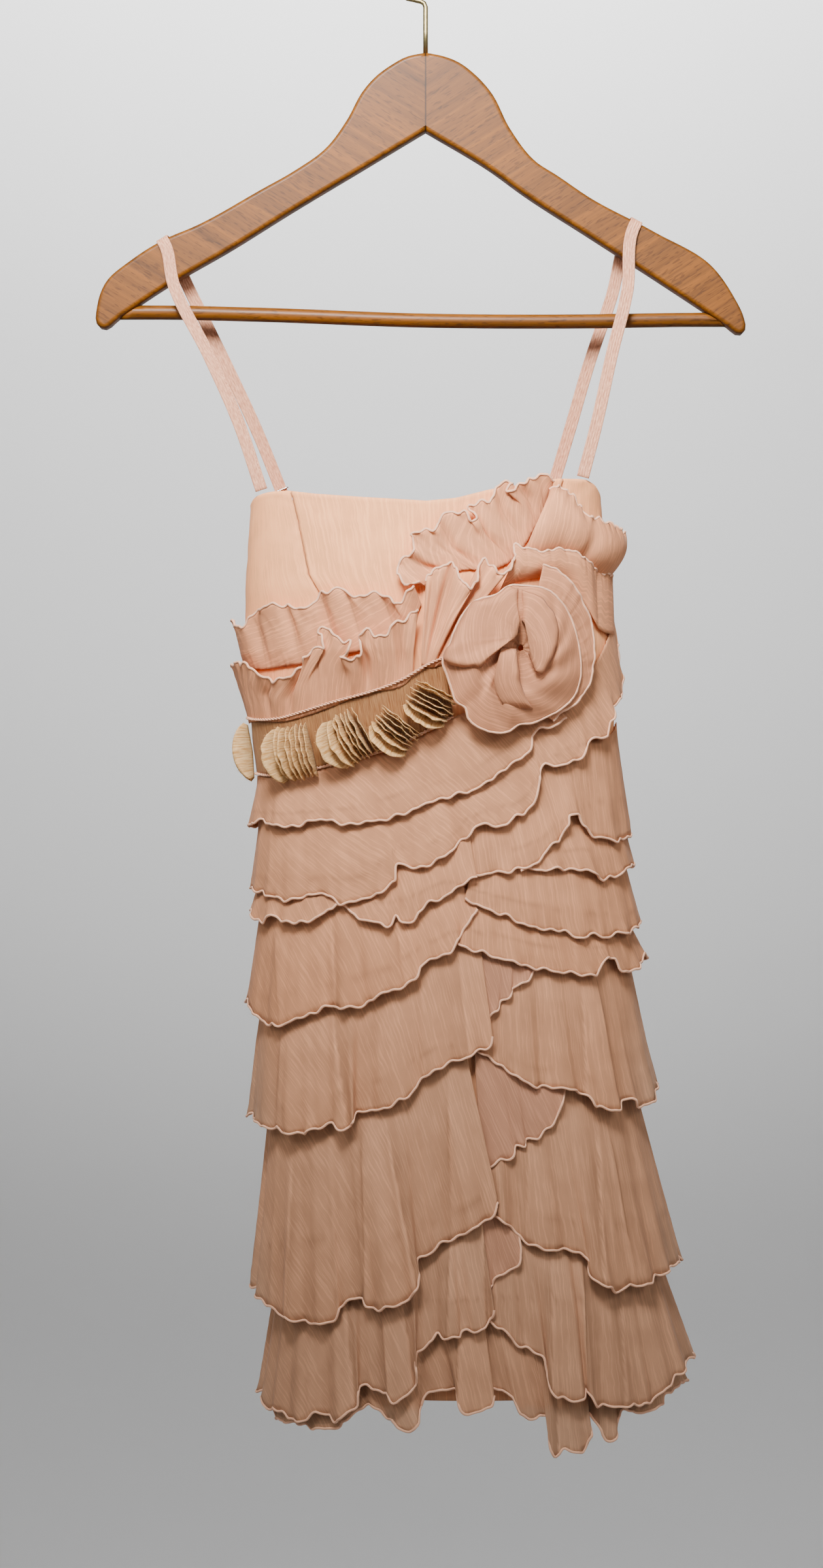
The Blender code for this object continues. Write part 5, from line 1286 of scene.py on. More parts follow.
def bodice_panel(name, start, end, surface, seed, pucker_start=0.0, pucker_end=0.0):
    """A bodice panel between two seams, with its seam edges turned in and its top edge folded over."""
    share = np.linspace(0.0, 1.0, PANEL_COLUMNS + 1)[:, None]
    level = np.linspace(0.0, 1.0, PANEL_ROWS + 1)[None, :] ** 1.15
    first, last = start(NECKLINE[0][1]), end(NECKLINE[0][1])
    top = neck(first + (last - first) * share)
    down = top + (BODICE_END - top) * level
    turn = start(down) + (end(down) - start(down)) * (SEAM_INSET + (1 - 2 * SEAM_INSET) * share)
    across = distances(spots(turn, down, PANEL_OUT + 0 * down), 0) / MM
    from_start, from_end = across, across[-1:] - across
    out = PANEL_OUT - SEAM_DIP * beside(from_start, SEAM_WIDTH) - SEAM_DIP * beside(from_end, SEAM_WIDTH)
    for pucker, away, lean, draw in ((pucker_start, from_start, 0.3, seed),
                                     (pucker_end, from_end, -0.3, seed + 1)):
        out = out + pucker * np.exp(-away / PUCKER_REACH) * waver(down + lean * across, PUCKER_LENGTH, draw)
    height, place = EDGE_ROLL
    drop, fade = EDGE_DROP
    out = out + height * beside(down - top - place, SEAM_WIDTH) - drop * np.exp(-(down - top) / fade)
    swing, length = PANEL_WAVE
    points = spots(turn, down, out + swing * waver(down + across, length, seed + 2))
    # Painted highlight along the folded top edge, and painted shade in the seams below it.
    painted_highlight = np.clip(1.0 - (down - top) / 2.0, 0.0, 1.0)
    painted_shade_and_cloud = CREASE_SHADE * (beside(from_start, CREASE_WIDTH) + beside(from_end, CREASE_WIDTH)) * (1.0 - painted_highlight)
    patch = (points, flat_cut(points), {"painted_shade_and_cloud": painted_shade_and_cloud, "painted_highlight": painted_highlight})
    made = grids(name + "_cloth", [patch], surface, wall=bpy.context.scene.gown_sizes.bodice_cloth)
    dress(made, name)


def slip_half(name, start, surface, seed):
    """Half of the underskirt, from the waist to its hem."""
    turn = np.linspace(start + SEAM_TURN, start + math.pi - SEAM_TURN, SLIP_COLUMNS)[:, None]
    down = np.linspace(BODICE_END + 0.6, SLIP_END, SLIP_ROWS)[None, :] + 0 * turn
    fall = (down - BODICE_END) / (SLIP_END - BODICE_END)
    swing, length = SLIP_WAVE
    out = PANEL_OUT + 0 * down + swing * fall * waver(turn * TURN_REACH, length, seed)
    points = spots(turn, down, out - SLIP_TAPER * fall)
    patch = (points, flat_cut(points), {"painted_shade_and_cloud": 0 * down, "painted_highlight": 0 * down})
    made = grids(name + "_cloth", [patch], surface, wall=bpy.context.scene.gown_sizes.bodice_cloth)
    dress(made, name)


def one_long(vectors):
    """Vectors with the same directions and a length of one."""
    return vectors / np.linalg.norm(vectors, axis=1)[:, None]


def square_to(tangent, across):
    """The direction across, turned square to each tangent."""
    return one_long(across - tangent * (tangent @ across)[:, None])


def wire(name, path, section, across, surface, ring=False):
    """A bar, wire or band: a section of sideways and outward offsets carried along points in metres."""
    steps = steps_along(path)
    around = steps_along(np.array([*section, section[0]])) * MM
    if ring:
        tangent = np.roll(path, -1, axis=0) - np.roll(path, 1, axis=0)
    else:
        tangent = np.gradient(path, steps, axis=0)
    tangent = one_long(tangent)
    side = square_to(tangent, np.array(across, float))
    outward = np.cross(tangent, side)
    offsets = np.array(section, float) * MM
    points = path[:, None] + side[:, None] * offsets[None, :, :1] + outward[:, None] * offsets[None, :, 1:]
    points = np.concatenate([points, points[:, :1]], axis=1)
    cut = np.stack(np.broadcast_arrays(around[None, :], steps[:, None]), axis=-1)
    if ring:
        cut = np.concatenate([cut, cut[-1:] + (cut[-1:] - cut[-2:-1])])
    made = grids(name, [(points, cut, {})], surface, ring=ring)
    merged = bmesh.new()
    merged.from_mesh(made.data)
    bmesh.ops.remove_doubles(merged, verts=merged.verts, dist=1e-6)
    if not ring:
        bmesh.ops.holes_fill(merged, edges=[e for e in merged.edges if e.is_boundary])
    bmesh.ops.recalc_face_normals(merged, faces=merged.faces)
    merged.to_mesh(made.data)
    merged.free()
    return made


def circle(radius, sides):
    """The corners of a round section."""
    return [(radius * math.cos(math.tau * s / sides), radius * math.sin(math.tau * s / sides))
            for s in range(sides)]


def hanging(across, down, back=0.0):
    """A point of the hanger or a strap, in metres."""
    return np.array([across, back, RING_CENTRE - down]) * MM


def hook_path():
    """The wire's middle line: the stem out of the wood and the ring, open on the right."""
    path = [hanging(*spot) for spot in STEM]
    for degrees in range(HOOK_START, HOOK_END - 1, -5):
        angle = math.radians(degrees)
        path.append(hanging(HOOK_RADIUS * math.cos(angle), -HOOK_RADIUS * math.sin(angle)))
    return np.array(path)


def arm_outline(rows):
    """A hanger arm's outline as a smooth line from the joint round the tip and back."""
    line = rounded(np.array(rows, float), 6)
    return evenly(line, int(steps_along(line)[-1] / ARM_STEP))


def make_arm(name, outline, surface):
    """One wooden arm: a board cut to its outline, with its edges rounded over by hand."""
    bm = bmesh.new()
    half = ARM_THICKNESS / 2
    outline = [(across * JOINT_SHARE if abs(across) < 1.0 else across, down) for across, down in outline]
    front = [bm.verts.new(hanging(*spot, -half)) for spot in outline]
    back = [bm.verts.new(hanging(*spot, half)) for spot in outline]
    bm.faces.new(front)
    bm.faces.new(back[::-1])
    for index in range(len(outline)):
        following = (index + 1) % len(outline)
        bm.faces.new((front[index], front[following], back[following], back[index]))
    bmesh.ops.recalc_face_normals(bm, faces=bm.faces)
    rims = [e for e in bm.edges if abs(e.verts[0].co.y - e.verts[1].co.y) < half * MM]
    rims = [e for e in rims if max(abs(v.co.x) for v in e.verts) > MM]
    bmesh.ops.bevel(bm, geom=rims, offset=ARM_EDGE * MM, segments=5, profile=0.5, affect="EDGES")
    bmesh.ops.triangulate(bm, faces=[f for f in bm.faces if len(f.verts) > 4])
    mesh = bpy.data.meshes.new(name + "_wood")
    bm.to_mesh(mesh)
    bm.free()
    mesh.materials.append(surface)
    mesh.shade_smooth()
    for face in mesh.polygons:
        face.use_smooth = abs(face.normal.y) < 0.999
    return dress(link(name + "_wood", mesh), name)


def strap_path(name):
    """A strap's middle line in millimetres: up the front, over the arm and down the back."""
    (across, down, slope), front, back = STRAPS[name]
    lean = math.atan(slope)
    lift = np.array([math.sin(lean), 0, math.cos(lean)])
    clear = ARM_CLEAR + STRAP_WALL / 2
    corner = ARM_THICKNESS / 2 - ARM_EDGE
    over = []
    for sign, quarter in ((-1, range(0, 91, 15)), (1, range(90, 181, 15))):
        for angle in map(math.radians, quarter):
            rise = (ARM_EDGE + clear) * math.sin(angle) - ARM_EDGE
            depth = sign * corner - (ARM_EDGE + clear) * math.cos(angle)
            shift = math.copysign(STRAP_SKEW, -across) * depth
            over.append(hanging(across + shift, down + slope * shift, depth) / MM + lift * rise)
    runs = []
    for points, sign in ((front, -1), (back, 1)):
        end_across, end_down = points[-1]
        turn = turns(end_across, end_down, PANEL_OUT)
        end_depth = abs(spots(turn, end_down, PANEL_OUT)[1]) / MM
        edge_depth = corner + ARM_EDGE + clear
        run = []
        for point in points:
            share = (point[1] - down) / (end_down - down)
            run.append(hanging(*point, sign * (edge_depth + (end_depth - edge_depth) * share)) / MM)
        runs.append(run)
    return np.array(runs[0][::-1] + over + runs[1])


def smooth_strap(name):
    """The strap's line in metres, rounded through its few points and evenly spaced."""
    line = rounded(strap_path(name), 8)
    return evenly(line, int(steps_along(line)[-1] / STRAP_STEP)) * MM


def corded_section():
    """A flat band's section with fine cords on each face."""
    width = np.linspace(-1.0, 1.0, 4 * STRAP_CORDS + 1)
    rib = STRAP_WALL / 2 - CORD_RELIEF + CORD_RELIEF * np.cos(width * STRAP_CORDS * math.pi)
    upper = [(STRAP_WIDTH / 2 * w * 0.98, r) for w, r in zip(width, rib)]
    return [(a, -b) for a, b in upper] + upper[::-1]


def petal_leaves(turn, down, width, height, petals, tilt, first_lean, last_lean, dice):
    """The curved leaves of one petal cluster, each as columns of points from its root to its frayed edge."""
    middle, right, fall = (spots(turn + aside, down + lower, PETAL_ROOT)
                           for aside, lower in ((0, 0), (SMALL_TURN, 0), (0, 1.0)))
    right = (right - middle) / np.linalg.norm(right - middle)
    fall = (fall - middle) / np.linalg.norm(fall - middle)
    outward = np.cross(fall, right)
    angle = math.radians(tilt)
    spread = right * math.cos(angle) - fall * math.sin(angle)
    length = right * math.sin(angle) + fall * math.cos(angle)
    leaves = []
    count = max(3, int(petals * LEAVES_PER_PETAL))
    along = np.linspace(-1.0, 1.0, PETAL_COLUMNS)[:, None]
    rise = np.linspace(0.0, 1.0, PETAL_ROWS)[None, :]
    (first, soon), (last, late) = LEAN_FIRST, LEAN_LAST
    for index in range(count):
        share = (index + 0.5) / count
        lean = first_lean * first * (1 - share) ** soon + last_lean * last * share ** late
        lean = lean + dice.uniform(-1.2, 1.2)
        base = width * (share - 0.5)
        curve = base * base / (2 * WAIST_ROUND)
        swell = np.sqrt(1 - PETAL_ROUND * along * along) * dice.uniform(0.8, 1.0)
        ripple = 0.55 * waver(along * height / 2, dice.uniform(9.0, 15.0), dice.random())
        reach = PETAL_REACH * swell * rise - curve + PETAL_LIFT * np.abs(along) * (1 - rise)
        sideways = base + lean * swell * rise + ripple * rise ** 1.5
        tip = dice.uniform(-1.2, 1.2)
        down_by = along * height / 2 * (1 - 0.06 * (1 - rise)) + tip * rise
        leaf = spread * sideways[..., None] + length * down_by[..., None] + outward * reach[..., None]
        leaves.append(middle + leaf * MM)
    return leaves


# The add-on's settings.


def colour(name, description, text):
    """A colour setting with its default written as sRGB hex."""
    return FloatVectorProperty(name=name, description=description, subtype="COLOR", size=4,
                               min=0.0, max=1.0, default=linear(text))


def size(name, description, default, low, high):
    """A length setting in metres."""
    return FloatProperty(name=name, description=description, default=default, min=low, max=high,
                         unit="LENGTH", precision=5)


class GownSizes(bpy.types.PropertyGroup):
    """Sizes of the cloth and its trims."""

    chiffon: size("Chiffon thickness", "Thickness of the ruffles' cloth", 0.0005, 0.0003, 0.001)
    bodice_cloth: size("Bodice thickness", "Thickness of the bodice and the slip", 0.0008, 0.0004, 0.0012)
    crinkle: size("Crinkle spacing", "Distance between the cloth's fine creases", 0.0015, 0.0008, 0.004)
    hem_roll: size("Hem roll", "Radius of the rolled hems", 0.0009, 0.0003, 0.0015)
    fold_swing: size("Fold swing", "How far the soft folds swing in and out", 0.0003, 0.0, 0.002)
    stitch_pitch: size("Stitch pitch", "Distance from stitch to stitch", 0.0024, 0.001, 0.006)
    fray_length: size("Fray length", "Longest loose thread on the petals", 0.0022, 0.0, 0.005)
    fray_spacing: size("Fray spacing", "Distance between loose threads", 0.0009, 0.0004, 0.004)
    cord_strand: size("Cord strand", "Radius of one strand of the ribbon's cord", 0.0006, 0.0003, 0.0012)
    seed: IntProperty(name="Seed", description="Changes the random folds and threads", default=7, min=0)


class GownColours(bpy.types.PropertyGroup):
    """Colours of the cloth, the trims and the hanger."""

    # One chiffon throughout, in lit and shaded copies: painted lightest on the bodice, darker on the bust
    # ruffles, the rosette and the skirt as painted shade, and darkest on the turned-over folds.
    bodice: colour("Bodice", "Smooth chiffon over the bodice", "#FFAF78")
    bust: colour("Bust ruffles", "Chiffon of the bust's frills", "#E59D72")
    rosette: colour("Rosette", "Chiffon of the rosette", "#D3906A")
    skirt: colour("Skirt", "Chiffon of the skirt's ruffles", "#CB8F69")
    reverse: colour("Reverse", "The skirt's chiffon seen from behind", "#BC8567")
    hem: colour("Hem thread", "Thread that rolls the hems", "#FFD2B2")
    lining: colour("Slip", "Plain slip behind the skirt", "#D9986F")
    ribbon: colour("Ribbon", "Silk ribbon round the waist", "#A9784A")
    ribbon_shade: colour("Ribbon shade", "Darker threads of the ribbon", "#85522A")
    petals: colour("Petals", "Raw silk of the petals", "#F6CC90")
    petal_shade: colour("Petal shade", "Darker threads of the petals", "#CF9650")
    strap: colour("Strap", "Corded webbing of the straps", "#E2A684")
    strap_shade: colour("Strap shade", "Webbing between its cords", "#BF7F5F")
    beech_light: colour("Beech", "Light wood of the hanger", "#804A0B")
    beech_dark: colour("Beech grain", "Dark grain of the hanger", "#502D06")
    brass_bright: colour("Brass", "Bright places on the hook", "#B9A878")
    brass_dull: colour("Tarnish", "Dull places on the hook", "#6E6140")
    silver: colour("Silver", "Bright places on the strap rings", "#D8D8D6")
    silver_dull: colour("Silver shade", "Dull places on the strap rings", "#9C9C9A")
    floor: colour("Floor", "Painted floor and its rise", "#E6E6E6")


class GOWN_OT_hanger(bpy.types.Operator):
    """Make the wooden arms, the bar and the wire hook"""

    bl_idname = "gown.hanger"
    bl_label = "Hanger"

    def execute(self, context):
        tints = context.scene.gown_colours
        brass = worn_metal("antique brass wire", tints.brass_bright, tints.brass_dull, 0.34)
        for name, slope, rows in ARMS:
            wood = varnished_beech(f"varnished beech of {name}", tints.beech_light, tints.beech_dark, slope)
            make_arm(name, arm_outline(rows), wood)
        hook = wire("hanger_hook_wire", hook_path(), circle(WIRE_RADIUS, 16), (0, 1, 0), brass)
        dress(hook, "hanger_hook")
        round_wood = varnished_beech("varnished beech of the bar", tints.beech_light, tints.beech_dark, 0.0)
        knots = [(BAR[0][0] - BAR_SPARE, BAR[0][1]), *BAR, (BAR[-1][0] + BAR_SPARE, BAR[-1][1])]
        path = rounded(np.array([hanging(*knot) for knot in knots]), 8)
        bar = wire("hanger_bar_wood", path, circle(BAR_RADIUS, 24), (0, 1, 0), round_wood)
        for vertex in bar.data.vertices:
            for side, ((x0, d0), (x1, d1)) in zip((-1, 1), ARM_UNDERSIDES):
                if side * vertex.co.x > (BAR[-1][0] - 1) * MM:
                    down = RING_CENTRE - vertex.co.z / MM
                    across = x0 + (x1 - x0) * (down - d0) / (d1 - d0)
                    cut = (across - side * BAR_END_GAP) * MM
                    vertex.co.x = side * min(side * vertex.co.x, side * cut)
        dress(bar, "hanger_bar")
        return {"FINISHED"}


class GOWN_OT_bodice(bpy.types.Operator):
    """Make the bodice panels and the slip below them"""

    bl_idname = "gown.bodice"
    bl_label = "Bodice and slip"

    def execute(self, context):
        tints, sizes = context.scene.gown_colours, context.scene.gown_sizes
        # The same silk pleated by hand on the front, laid smooth elsewhere, and a plain woven lining below.
        ribbed = chiffon("pleated chiffon of the bodice", tints.bodice, depth=0.07, relief=0.25)
        plain = chiffon("smooth chiffon of the bodice", tints.bodice, spacing=0.0008, relief=0.15)
        lining = chiffon("plain lining of the slip", tints.lining, depth=0.06, spacing=0.0008, relief=0.15)
        left, right = princess(-1), princess(1)
        seed = sizes.seed * 100
        bodice_panel("bodice_front", left, right, ribbed, seed + 1, pucker_start=0.3)
        bodice_panel("bodice_side_left", fixed(-SIDE_TURN), left, plain, seed + 4, pucker_end=0.4)
        bodice_panel("bodice_side_right", right, fixed(SIDE_TURN), ribbed, seed + 7)
        bodice_panel("bodice_back_left", fixed(-math.pi), fixed(-SIDE_TURN), plain, seed + 10)
        bodice_panel("bodice_back_right", fixed(SIDE_TURN), fixed(math.pi), plain, seed + 13)
        slip_half("slip_front", -SIDE_TURN, lining, seed + 16)
        slip_half("slip_back", SIDE_TURN, lining, seed + 17)
        return {"FINISHED"}


def strap_stitches(name, path, across, tree):
    """The row of stitches down one side of a strap's outer face."""
    tangent = one_long(np.gradient(path, axis=0))
    side = square_to(tangent, across)
    outward = np.cross(tangent, side)
    if outward[5] @ np.array([0, -1, 0]) <= 0:
        outward = -outward
    line = path + side * (STRAP_WIDTH * STITCH_PLACE * MM) + outward * (STRAP_WALL / 2 * MM)
    inputs = {"Pitch": bpy.context.scene.gown_sizes.stitch_pitch, "Thread radius": STITCH_THREAD}
    along_lines(name + "_stitches", [line[2:-2]], tree, inputs, hem_thread())


def strap_loop(name, strap, level, metal):
    """The squarish wire loop round a strap at this level."""
    path = strap_path(strap)
    top, low = path[-2], path[-1]
    share = (level - (RING_CENTRE - top[2])) / (top[2] - low[2])
    middle = top + (low - top) * share
    along = (low - top) / np.linalg.norm(low - top)
    side = np.array([1, 0, -STRAPS[strap][0][2]])
    side = side - along * (side @ along)
    side /= np.linalg.norm(side)
    outward = np.cross(along, side)
    half_width = STRAP_WIDTH / 2 + RING_WIRE + GAP
    half_depth = STRAP_WALL / 2 + RING_WIRE + GAP
    angles = np.linspace(0, math.tau, 40, endpoint=False)
    right, out = (np.sign(f(angles)) * np.abs(f(angles)) ** 0.45 for f in (np.cos, np.sin))
    loop = middle + side * (half_width * right)[:, None] + outward * (half_depth * out)[:, None]
    dress(wire(name + "_metal", loop * MM, circle(RING_WIRE, 10), along, metal, ring=True), name)


class GOWN_OT_straps(bpy.types.Operator):
    """Make the two straps, their stitches and their metal loops"""

    bl_idname = "gown.straps"
    bl_label = "Straps"

    def execute(self, context):
        tints = context.scene.gown_colours
        # Rayon cords woven side by side: soft stripes with little gloss.
        webbing = streaked("corded strap webbing", tints.strap, tints.strap_shade, 0.0009, 0.004, 0.7, 0.5)
        metal = worn_metal("plated strap loop", tints.silver, tints.silver_dull, 0.22)
        stitches = stitch_tree()
        for name, ((_, _, slope), _, _) in STRAPS.items():
            across = np.array([1, 0, -slope]) / math.hypot(1, slope)
            path = smooth_strap(name)
            dress(wire(name + "_webbing", path, corded_section(), across, webbing), name)
            strap_stitches(name, path, across, stitches)
        for name, (strap, level) in RINGS.items():
            strap_loop(name, strap, level, metal)
        return {"FINISHED"}


class GOWN_OT_ribbon(bpy.types.Operator):
    """Make the waist ribbon and the twisted cord on both of its edges"""

    bl_idname = "gown.ribbon"
    bl_label = "Ribbon"

    def execute(self, context):
        tints, sizes = context.scene.gown_colours, context.scene.gown_sizes
        # Raw silk, woven of thick and thin yarns that show as long slubs, and a cord of two silk strands.
        silk = streaked("raw silk ribbon", tints.ribbon, tints.ribbon_shade, 0.0007, 0.014, 0.55, 0.5, 0.08)
        silk_cord = streaked("silk cord", tints.hem, tints.bust, 0.0007, 0.014, 0.5, 0.2, 0.08)
        filled = rows_between(lay_out(RIBBON, RIBBON_TAIL), RIBBON_ROWS)
        along = (steps_along(on_dress(filled[:, RIBBON_ROWS // 2])) / MM)[:, None]
        swing, length = RIBBON_WAVE
        filled[..., 2] += swing * waver(along + filled[..., 1], length, sizes.seed) + RIBBON_OUT
        points = on_dress(filled)
        patch = (points, flat_cut(points), {})
        made = dress(grids("ribbon_cloth", [patch], silk, wall=sizes.bodice_cloth), "ribbon")
        lines = [on_dress(filled[:, row] + np.array([0.0, *lift])) for row, lift in CORD_LIFTS.items()]
        cord = along_lines("ribbon_cords", lines, twisted_cord_tree(),
                           {"Strand radius": sizes.cord_strand, "Turns per metre": CORD_TURNS}, silk_cord)
        return {"FINISHED"}


class GOWN_OT_petals(bpy.types.Operator):
    """Make the raw silk petals along the ribbon, with their frayed edges"""

    bl_idname = "gown.petals"
    bl_label = "Petals"

    def execute(self, context):
        tints, sizes = context.scene.gown_colours, context.scene.gown_sizes
        # Raw silk cut across its yarns, so that the edge frays into single threads: dull, with pale streaks.
        silk, threads = (
            streaked(name, tints.petals, tints.petal_shade, 0.0009, 0.009, roughness, relief)
            for name, roughness, relief in (("raw silk petals", 0.72, 0.5), ("raw silk threads", 0.8, 0.1))
        )
        fray = fray_tree()
        for number, (name, across, down, *shape) in enumerate(CLUSTERS):
            dice = random.Random(sizes.seed * 10 + number)
            leaves = petal_leaves(turns(across, down, PETAL_ROOT), down, *shape, dice)
            patches = []
            for leaf in leaves:
                # Painted shade, darker towards each leaf's root where the leaves lie over each other.
                root = np.linspace(1.0, 0.0, leaf.shape[1])[None, :] ** 1.5 + np.zeros((len(leaf), 1))
                painted_shade_and_cloud = np.clip(1.1 * root + dice.uniform(0.0, 0.2), 0.0, 1.0)
                patches.append((leaf, flat_cut(leaf), {"painted_shade_and_cloud": painted_shade_and_cloud}))
            made = dress(grids(name + "_cloth", patches, silk, wall=PETAL_CLOTH), name)
            edges = [leaf[:, -1] for leaf in leaves]
            loose = along_lines(name + "_fray", edges, fray,
                                {"Spacing": sizes.fray_spacing, "Length": sizes.fray_length,
                                 "Thread radius": FRAY_THREAD, "Seed": number}, threads)
        return {"FINISHED"}


class GOWN_OT_bust(bpy.types.Operator):
    """Make the frills, the puff, the gathered band and the fan of the bust"""

    bl_idname = "gown.bust"
    bl_label = "Bust ruffles"

    def execute(self, context):
        tints, sizes = context.scene.gown_colours, context.scene.gown_sizes
        cloth = chiffon("crinkled chiffon of the bust", tints.bust, depth=0.09)
        for number, (name, sewing, lines) in enumerate(BUST):
            rows, hems, grain, curl, curl_length, swing = sewing
            ruffle(name, lines, cloth, rows, sizes.seed * 1000 + number * 10, grain=grain, hems=hems,
                   curl=curl, curl_length=curl_length, swing=swing)
        return {"FINISHED"}


def rosette_bowl(surface):
    """The rosette's pleated bowl, from its heart to its rolled edge."""
    knots = np.array([*BOWL_EDGE, *BOWL_EDGE, *BOWL_EDGE], float)
    line = rounded(knots, 12)
    third = (len(line) - 1) // 3
    edge = evenly(line[third:2 * third + 1], BOWL_COLUMNS + 1)[:-1]
    levels = np.array(BOWL_RISE, float)
    reach = np.linspace(levels[0, 0], 1.0, BOWL_ROWS + 1)[None, :]
    middle = np.array([*BOWL_MIDDLE, 0.0])
    flat = middle + (edge[:, None, :] - middle) * reach[..., None]
    brim, brim_out = BOWL_RISE[-1]
    inner = np.where(reach < brim, np.interp(reach, levels[:, 0], levels[:, 1]), brim_out)
    outer = np.clip((reach - brim) / (1.0 - brim), 0.0, 1.0)
    rise = inner + (edge[:, 2:] - brim_out) * outer ** 1.3
    spiral = np.linspace(0.0, 1.0, BOWL_COLUMNS, endpoint=False)[:, None] + PLEAT_SLANT * reach
    pleats = np.sin(math.tau * PLEATS * spiral + PLEAT_WANDER * np.sin(math.tau * 3 * spiral))
    swell = np.sin(reach * math.pi * 0.85)
    rise = rise + pleats * PLEAT_HEIGHT * swell
    points = spots(turns(flat[..., 0], flat[..., 1], rise), flat[..., 1], rise)
    closed = np.concatenate([points, points[:1]])
    # Painted highlight along the brim, and painted shade in the pleats' valleys and round the heart.
    painted_highlight = np.clip(1.0 - (1.0 - reach) * 22.0, 0.0, 1.0) + 0 * rise
    painted_shade_and_cloud = np.maximum(0.5 * np.clip(-pleats, 0.0, 1.0) * swell, 0.9 * np.exp(-(reach / 0.16) ** 2))
    patch = (points, flat_cut(closed, (90.0, 90.0)), {"painted_shade_and_cloud": painted_shade_and_cloud, "painted_highlight": painted_highlight})
    thickness = bpy.context.scene.gown_sizes.chiffon
    made = dress(grids("rosette_bowl_cloth", [patch], surface, wall=thickness, ring=True), "rosette_bowl")
    hem = hem_of("rosette_bowl_hem", closed[:, -1], 31)


class GOWN_OT_rosette(bpy.types.Operator):
    """Make the rosette: its pleated bowl, its flounce, and the petals and loop over its heart"""

    bl_idname = "gown.rosette"
    bl_label = "Rosette"

    def execute(self, context):
        tints, sizes = context.scene.gown_colours, context.scene.gown_sizes
        cloth = chiffon("crinkled chiffon of the rosette", tints.rosette, depth=0.09)
        rosette_bowl(cloth)
        for number, (name, lines) in enumerate(FOLDED):
            hems, roll = (("low",), 0.0) if name == "rosette_flounce" else ((), PETAL_ROLL)
            ruffle(name, lines, cloth, FOLDED_ROWS, sizes.seed * 1000 + 300 + number * 10,
                   grain=(80.0, 80.0), hems=hems, curl=0.4, curl_length=16.0, swing=0.2,
                   roll=roll)
        return {"FINISHED"}


class GOWN_OT_tiers(bpy.types.Operator):
    """Make the nine rows of the skirt's ruffles, with their rolled hems"""

    bl_idname = "gown.tiers"
    bl_label = "Skirt tiers"

    def execute(self, context):
        tints, sizes = context.scene.gown_colours, context.scene.gown_sizes
        cloth = chiffon("crinkled chiffon of the skirt", tints.skirt)
        # The turned-over folds take the chiffon painted darker, as painted shade.
        reverse = chiffon("reverse of the skirt's chiffon", tints.reverse)
        for number, (name, rows, tail, grain, under, seam, hem) in enumerate(TIERS):
            ruffle(name, [seam, hem], reverse if name.endswith("fold") else cloth, rows,
                   sizes.seed * 2000 + number * 10, tail=tail, grain=grain, under=under)
        return {"FINISHED"}


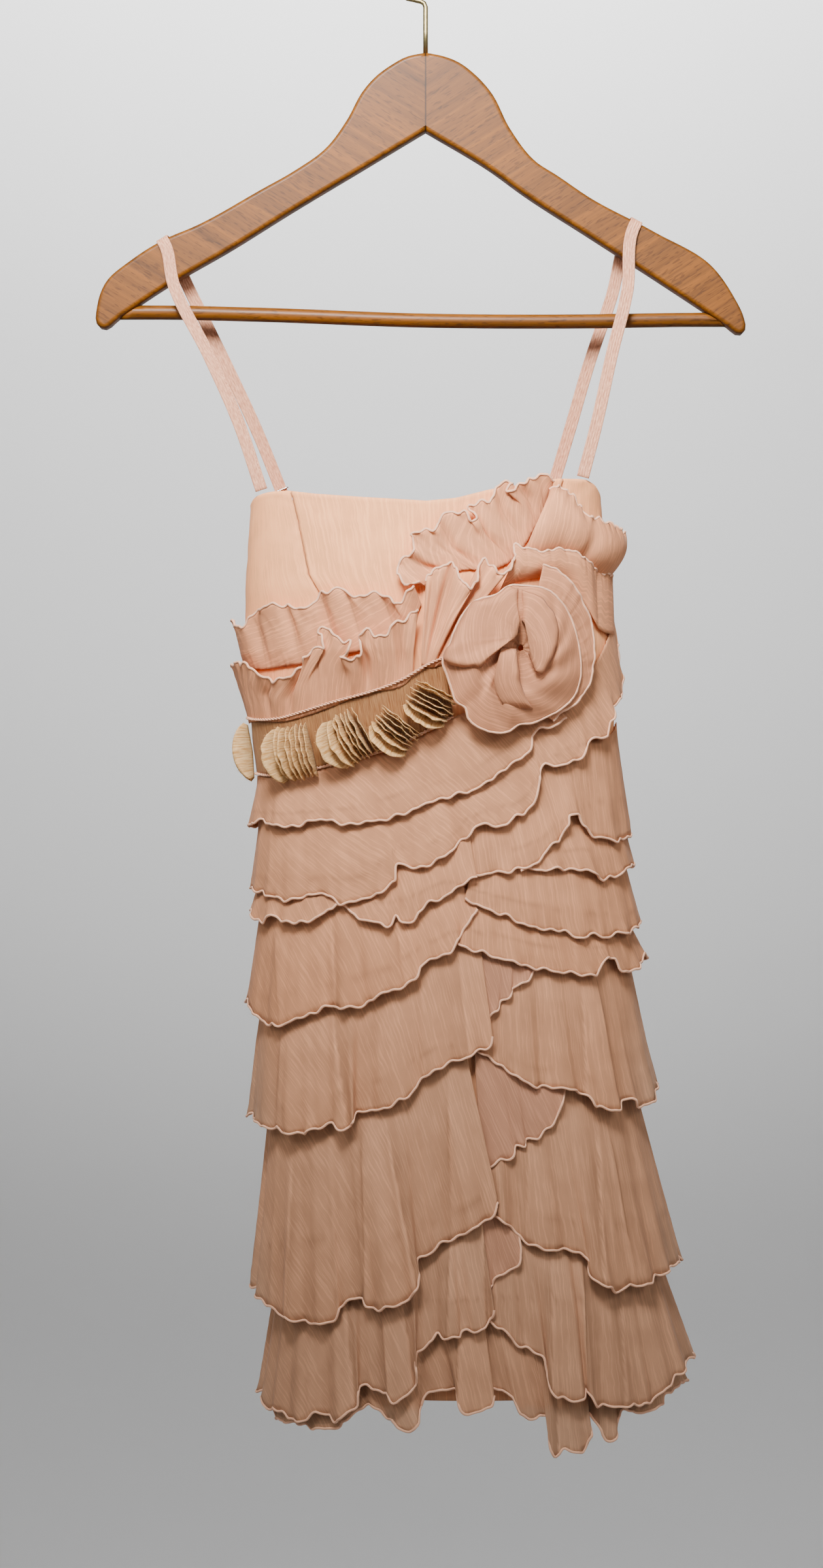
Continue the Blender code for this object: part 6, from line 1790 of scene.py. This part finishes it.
class GOWN_OT_stage(bpy.types.Operator):
    """Make the plain floor, the lights and the camera"""

    bl_idname = "gown.stage"
    bl_label = "Stage"

    def execute(self, context):
        tints = context.scene.gown_colours
        turn = np.linspace(0.0, math.tau, 97)[:-1, None]
        bend = np.linspace(0.0, math.pi / 2, 13)
        radius = np.r_[0.0002, 2.0, FLOOR_REACH + COVE * np.sin(bend), FLOOR_REACH + COVE][None, :]
        height = np.r_[0.0, 0.0, COVE * (1 - np.cos(bend)), WALL_TOP][None, :] + FLOOR_LEVEL
        points = np.stack([radius * np.sin(turn), radius * np.cos(turn), height + 0 * turn], axis=-1)
        flat = np.concatenate([points, points[:1]])[..., :2]
        paint = painted_plain("matt floor paint", tints.floor)
        grids("floor", [(points, flat, {})], paint, ring=True)
        for label, spot, aim, wide, beam, watts in LIGHTS:
            lamp = bpy.data.lights.new(label, "AREA")
            lamp.shape = "DISK"
            lamp.size = wide
            lamp.spread = math.radians(beam)
            lamp.energy = watts
            made = bpy.data.objects.new(label, lamp)
            made.location = spot
            made.rotation_euler = (Vector(aim) - Vector(spot)).to_track_quat("-Z", "Y").to_euler()
            context.collection.objects.link(made)
        world = bpy.data.worlds.new("pale room")
        world.use_nodes = True
        sky = world.node_tree.nodes["Background"]
        sky.inputs["Color"].default_value = linear(WORLD_TINT)
        sky.inputs["Strength"].default_value = WORLD_LIGHT
        context.scene.world = world
        lens = bpy.data.cameras.new("photo view")
        lens.sensor_fit = "VERTICAL"
        lens.sensor_height = 36.0
        lens.lens = CAMERA_LENS
        camera = bpy.data.objects.new("photo view", lens)
        camera.location = CAMERA_SPOT
        camera.rotation_euler = (math.pi / 2, 0.0, 0.0)
        context.collection.objects.link(camera)
        context.scene.camera = camera
        return {"FINISHED"}


class GOWN_PT_panel(bpy.types.Panel):
    """Lists the gown's pieces and settings in the sidebar"""

    bl_idname = "GOWN_PT_panel"
    bl_label = "Gown"
    bl_space_type = "VIEW_3D"
    bl_region_type = "UI"
    bl_category = "Gown"

    def draw(self, context):
        for operator in OPERATORS:
            self.layout.operator(operator.bl_idname)
        for group in (context.scene.gown_sizes, context.scene.gown_colours):
            box = self.layout.box()
            for key in group.bl_rna.properties.keys():
                if key not in ("rna_type", "name"):
                    box.prop(group, key)


OPERATORS = (
    GOWN_OT_hanger, GOWN_OT_bodice, GOWN_OT_straps, GOWN_OT_ribbon, GOWN_OT_petals, GOWN_OT_bust,
    GOWN_OT_rosette, GOWN_OT_tiers, GOWN_OT_stage,
)
CLASSES = (GownSizes, GownColours, *OPERATORS, GOWN_PT_panel)


def register():
    """Registers the classes and hangs the settings on the scene."""
    for kind in CLASSES:
        bpy.utils.register_class(kind)
    bpy.types.Scene.gown_sizes = PointerProperty(type=GownSizes)
    bpy.types.Scene.gown_colours = PointerProperty(type=GownColours)


def unregister():
    """Takes the settings and the classes away again."""
    del bpy.types.Scene.gown_colours
    del bpy.types.Scene.gown_sizes
    for kind in reversed(CLASSES):
        bpy.utils.unregister_class(kind)


def main():
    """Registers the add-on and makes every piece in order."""
    register()
    bpy.ops.gown.hanger()
    bpy.ops.gown.bodice()
    bpy.ops.gown.straps()
    bpy.ops.gown.ribbon()
    bpy.ops.gown.petals()
    bpy.ops.gown.bust()
    bpy.ops.gown.rosette()
    bpy.ops.gown.tiers()
    bpy.ops.gown.stage()


if __name__ == "__main__":
    main()
